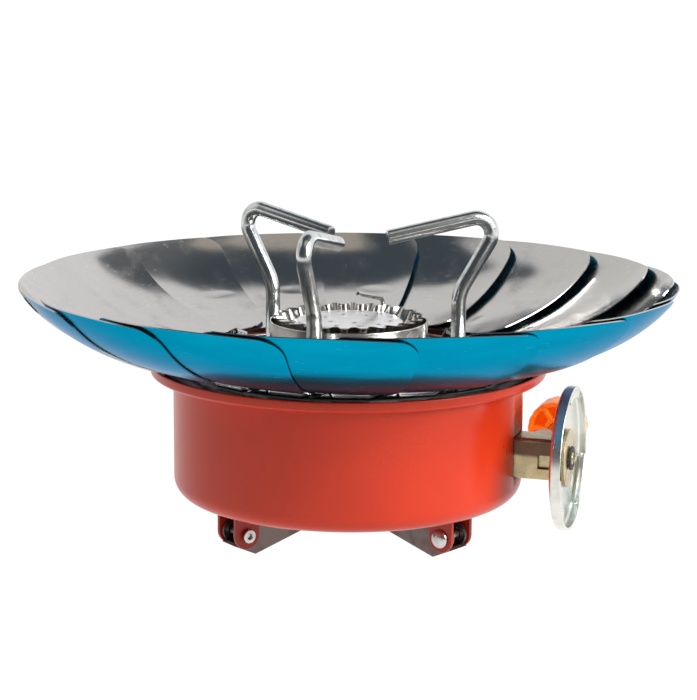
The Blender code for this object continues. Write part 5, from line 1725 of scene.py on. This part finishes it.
    def nozzle(self, bench: Bench, lay: Matrix, flange: float) -> None:
        """The probe that opens the cartridge, and its seal.

        Args:
            bench: Where the pieces are made.
            lay: Turns a piece from +Z to the connector's axis.
            flange: Where the probe's flange starts along the axis.
        """
        root = self.probe - self.seal_wall
        low = flange + self.probe_flange_sheet + GAP
        nose = low + self.seal_height
        tail = self.valve_end - OVERRUN + GAP
        probe = [(0, tail), (root, tail), (root, self.valve_end + GAP), (self.probe, self.valve_end + GAP),
                 (self.probe, flange), (self.probe_flange, flange),
                 (self.probe_flange, flange + self.probe_flange_sheet),
                 (root, flange + self.probe_flange_sheet), (root, nose), (self.probe_pin, nose),
                 (self.probe_pin, nose + self.probe_pin_reach), (0, nose + self.probe_pin_reach)]
        bench.piece("probe_pin", moved(revolve(eased(probe, EDGE), Turn.NECK), lay), [CHROMATE],
                    ["cartridge_probe"])
        seal = [(root + GAP, low), (self.probe, low), (self.probe, nose), (root + GAP, nose)]
        bench.piece("probe_seal", moved(revolve(eased(seal, SOFT_EDGE, 5), Turn.STUB), lay), [RUBBER],
                    ["cartridge_seal"])

    def knob(self, bench: Bench) -> None:
        """The fluted knob on its spindle, hollow and spoked towards the connector.

        Args:
            bench: Where the pieces are made.
        """
        side = self.side()
        high = self.knob_back + self.knob_depth
        end = high - self.knob_face - GAP
        spindle = [(0, self.spindle_first), (self.spindle, self.spindle_first + self.spindle),
                   (self.spindle, end), (0, end)]
        bench.piece("spindle", revolve(spindle, Turn.PIN), [BRASS], ["valve_spindle"], side)
        count = self.knob_flutes * self.flute_steps
        outline = []
        for i in range(count):
            a = math.tau * i / count
            wave = 0.5 - 0.5 * math.cos(self.knob_flutes * a)
            radius = self.knob_radius - self.flute_depth * wave ** 2
            outline.append((radius * math.cos(a), radius * math.sin(a)))
        knob = bench.piece("fluted_knob", prism(outline, self.knob_back, high), [ORANGE], ["knob"], side)
        outer, hub = self.knob_radius - self.knob_wall, self.knob_hub
        slant, hub_slant = (math.degrees(self.knob_spoke / 2 / r) for r in (outer, hub))
        mouth, floor = self.knob_back - OVERRUN, high - self.knob_face
        pockets = [rod(self.spindle + GAP, mouth, floor, Turn.PIN)]
        for i in range(self.knob_spokes):
            start, end = 360 * i / self.knob_spokes, 360 * (i + 1) / self.knob_spokes
            outline = arc((0, 0), (outer, outer), start + slant, end - slant, 16)
            outline += arc((0, 0), (hub, hub), end - hub_slant, start + hub_slant, 8)
            pockets.append(prism(outline, mouth, floor))
        bench.cut(knob, joined(pockets), side)
        bench.soften(knob, SOFT_EDGE, 3)


@dataclass
class Igniter:
    """Spark electrode in its insulator, and the push button."""

    button_azimuth: float = 62.0
    button_height: float = 16.0 * MM
    button_radius: float = 3.6 * MM
    button_reach: float = 5.0 * MM
    button_crown: float = 0.9 * MM
    button_travel: float = 3.0 * MM
    bore_depth: float = 9.0 * MM
    flange: float = 6.6 * MM
    azimuth: float = 83.0
    circle: float = 27.6 * MM
    wire: float = 0.65 * MM
    shoulder: float = 56.9 * MM
    tip_height: float = 61.7 * MM
    tip_radius: float = 7.0 * MM
    foot: float = 35.0 * MM
    insulator_radius: float = 2.0 * MM
    insulator_flange: float = 3.2 * MM
    flange_sheet: float = 1.2 * MM
    insulator_top: float = 46.5 * MM
    insulator_bottom: float = 34.0 * MM

    def build(self, bench: Bench, cup: Cup, seat: Seat) -> None:
        """Make the electrode, its insulator and the button.

        Args:
            bench: Where the pieces are made.
            cup: The cup whose wall holds the button.
            seat: The seat whose shield holds the insulator.
        """
        inside = cup.radius - cup.sheet
        floor = inside * math.cos(math.asin(self.flange / inside)) - GAP - self.bore_depth
        start, end = floor + self.button_travel + GAP, cup.radius + self.button_reach
        crown = arc((0, end - self.button_crown), (self.button_radius, self.button_crown), 0, 90, 12)
        section = [(0, start), (self.button_radius, start)] + crown
        bench.piece("push_button", revolve(section, Turn.STUB), [BLACK], ["piezo_button"],
                    spun(self.button_azimuth) @ about_x(BASE + self.button_height))
        low = BASE + seat.ring_top + 2 * GAP + seat.shield_sheet - seat.dish
        core, bottom, top = self.wire + GAP, BASE + self.insulator_bottom, BASE + self.insulator_top
        neck, flange, high = self.insulator_radius, self.insulator_flange, low + self.flange_sheet
        sleeve = [(core, bottom), (neck, bottom), (neck, low), (flange, low), (flange, high), (neck, high),
                  (neck, top), (core, top)]
        bench.piece("spark_insulator", revolve(eased(sleeve, SOFT_EDGE), Turn.BUSH), [CERAMIC],
                    ["electrode_insulator"], beside(self.circle, self.azimuth))
        corners = [polar(self.circle, self.azimuth, BASE + self.foot),
                   polar(self.circle, self.azimuth, BASE + self.shoulder),
                   polar(self.tip_radius, self.azimuth, BASE + self.tip_height)]
        path = rounded_path(corners, [4 * self.wire], 12)
        bench.piece("spark_wire", sweep(path, self.wire, 20, ease=EDGE), [PLAIN_STAINLESS],
                    ["electrode"])


@dataclass
class Softbox:
    """A square area light aimed at the stove."""

    name: str
    azimuth: float
    height: float
    distance: float
    size: float
    power: float
    mirrored: bool

    def build(self, aim: Vector) -> None:
        """Set up the light; only a mirrored one shows in glossy pieces.

        Args:
            aim: The point that it faces.
        """
        data = bpy.data.lights.new(self.name, "AREA")
        data.energy = self.power
        data.size = self.size
        item = bpy.data.objects.new(self.name, data)
        bpy.context.scene.collection.objects.link(item)
        place = polar(self.distance, self.azimuth, self.height)
        item.location = place
        item.rotation_mode = "QUATERNION"
        item.rotation_quaternion = (aim - place).to_track_quat("-Z", "Y")
        item.visible_glossy = self.mirrored


@dataclass
class Sky:
    """A bright far side, a dark card overhead, and a dark side with a window by the camera."""

    left_wall: Colour = (0.76, 0.755, 0.745)
    right_wall: Colour = (0.95, 0.95, 0.955)
    wall_change: Point = (-0.6, 0.7)
    dusk: Colour = (0.06, 0.06, 0.065)
    dusk_change: Point = (0.05, 0.35)
    left_card: Colour = (0.062, 0.082, 0.10)
    right_card: Colour = (0.13, 0.14, 0.15)
    card_change: Point = (0.2, 0.7)
    card_across: Point = (-0.65, 1.12)
    card_edge: Point = (-0.68, -0.56)
    window: Colour = (0.50, 0.46, 0.41)
    window_across: Point = (-0.17, 0.62)
    window_along: Point = (0.19, 0.75)
    soft: Point = (0.07, 0.06)

    def build(self, azimuth: float) -> None:
        """Paint the sky, with the card and the window on a plane overhead.

        Args:
            azimuth: Where the camera stands, in degrees.
        """
        world = bpy.data.worlds.new("studio")
        world.use_nodes = True
        bpy.context.scene.world = world
        work = Recipe(world.node_tree)
        ray = work.output(work.add("TexCoord"), "Generated")
        parts = work.add("SeparateXYZ", None, {0: ray})
        east, north, up = (work.output(parts, axis) for axis in "XYZ")
        towards, right = polar(1, azimuth, 0), polar(1, azimuth + 90, 0)
        facing = east * towards.x + north * towards.y
        side = east * right.x + north * right.y
        across, along = side / up, facing / up
        walls = work.mixed(side.step(*self.wall_change), self.left_wall, self.right_wall)
        backdrop = work.mixed(facing.step(*self.dusk_change), walls, self.dusk)
        paper = work.mixed(across.step(*self.card_change), self.left_card, self.right_card)
        card = across.band(*self.card_across, self.soft[0]) * along.step(*self.card_edge)
        window = across.band(*self.window_across, self.soft[0])
        window = window * along.band(*self.window_along, self.soft[1])
        shade = work.mixed(window, work.mixed(card, backdrop, paper), self.window)
        background = world.node_tree.nodes["Background"]
        work.feed(background.inputs["Color"], shade)
        work.feed(background.inputs["Strength"], 1.0)


@dataclass
class Studio:
    """Camera, floor, sky and lights."""

    distance: float = 651 * MM
    camera_height: float = 172.6 * MM
    azimuth: float = -73.5
    pitch: float = 11.1
    roll: float = 0.37
    focal_pixels: float = 2122
    long_side: float = 700
    sensor: float = 36.0
    floor_size: float = 24.0
    floor_drop: float = 18 * MM  # below the tips of the feet when they stand out
    floor_grey: float = 0.12
    floor_glow: float = 0.97
    aim_height: float = 45 * MM
    lights: tuple[Softbox, ...] = (
        Softbox("key", -15, 420 * MM, 700 * MM, 450 * MM, 10.0, True),
        Softbox("fill", -73, 350 * MM, 900 * MM, 900 * MM, 0.3, False),
    )

    def build(self) -> None:
        """Set up the whole studio."""
        self.camera()
        self.floor()
        Sky().build(self.azimuth)
        for light in self.lights:
            light.build(Vector((0, 0, BASE + self.aim_height)))
        bpy.context.scene.view_settings.view_transform = "Standard"

    def camera(self) -> None:
        """The photograph's view."""
        data = bpy.data.cameras.new("camera")
        data.sensor_width = self.sensor
        data.lens = self.focal_pixels / self.long_side * self.sensor
        item = bpy.data.objects.new("camera", data)
        bpy.context.scene.collection.objects.link(item)
        aim = spun(self.azimuth + 90) @ Matrix.Rotation(math.radians(90 - self.pitch), 4, "X")
        turn = Matrix.Rotation(math.radians(self.roll), 4, "Z")
        place = polar(self.distance, self.azimuth, BASE + self.camera_height)
        item.matrix_world = Matrix.Translation(place) @ aim @ turn
        bpy.context.scene.camera = item

    def floor(self) -> None:
        """A pale floor that glows a little, like a light table."""
        work = bmesh.new()
        bmesh.ops.create_grid(work, x_segments=1, y_segments=1, size=self.floor_size / 2)
        mesh = bpy.data.meshes.new("floor")
        work.to_mesh(mesh)
        work.free()
        paper = Material("paper")
        paper.set(Base_Color=(self.floor_grey,) * 3, Roughness=0.9, Emission_Color=(1.0, 1.0, 1.0),
                  Emission_Strength=self.floor_glow, Specular_IOR_Level=0.0)
        mesh.materials.append(paper.block)
        item = bpy.data.objects.new("floor", mesh)
        item.location.z = -self.floor_drop
        bpy.context.scene.collection.objects.link(item)


def main() -> None:
    """Dress the frame, piece by piece, and set up the studio."""
    logging.basicConfig(level=logging.INFO, format="%(name)s: %(message)s")
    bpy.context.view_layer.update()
    bench = Bench()
    feet, connector, igniter, cup = Feet(), Connector(), Igniter(), Cup()
    screen, supports, burner, seat = Windscreen(), PotSupports(), Burner(), Seat()
    cup.build(bench, feet, connector, igniter)
    feet.build(bench, cup)
    screen.build(bench)
    seat.build(bench, cup, screen, supports, burner, igniter)
    supports.build(bench, seat)
    burner.build(bench, seat)
    connector.build(bench)
    igniter.build(bench, cup, seat)
    bench.repaint(BRASS, "injector", "mixing_tube")
    bench.repaint(COPPER, "gas_tube")
    bench.repaint(BLACK, "piezo_body")
    bench.repaint(RUBBER, "ignition_lead")
    bench.repaint(GREY_ZINC, "shield_post_1", "shield_post_2", "shield_post_3")
    Studio().build()


if __name__ == "__main__":
    main()
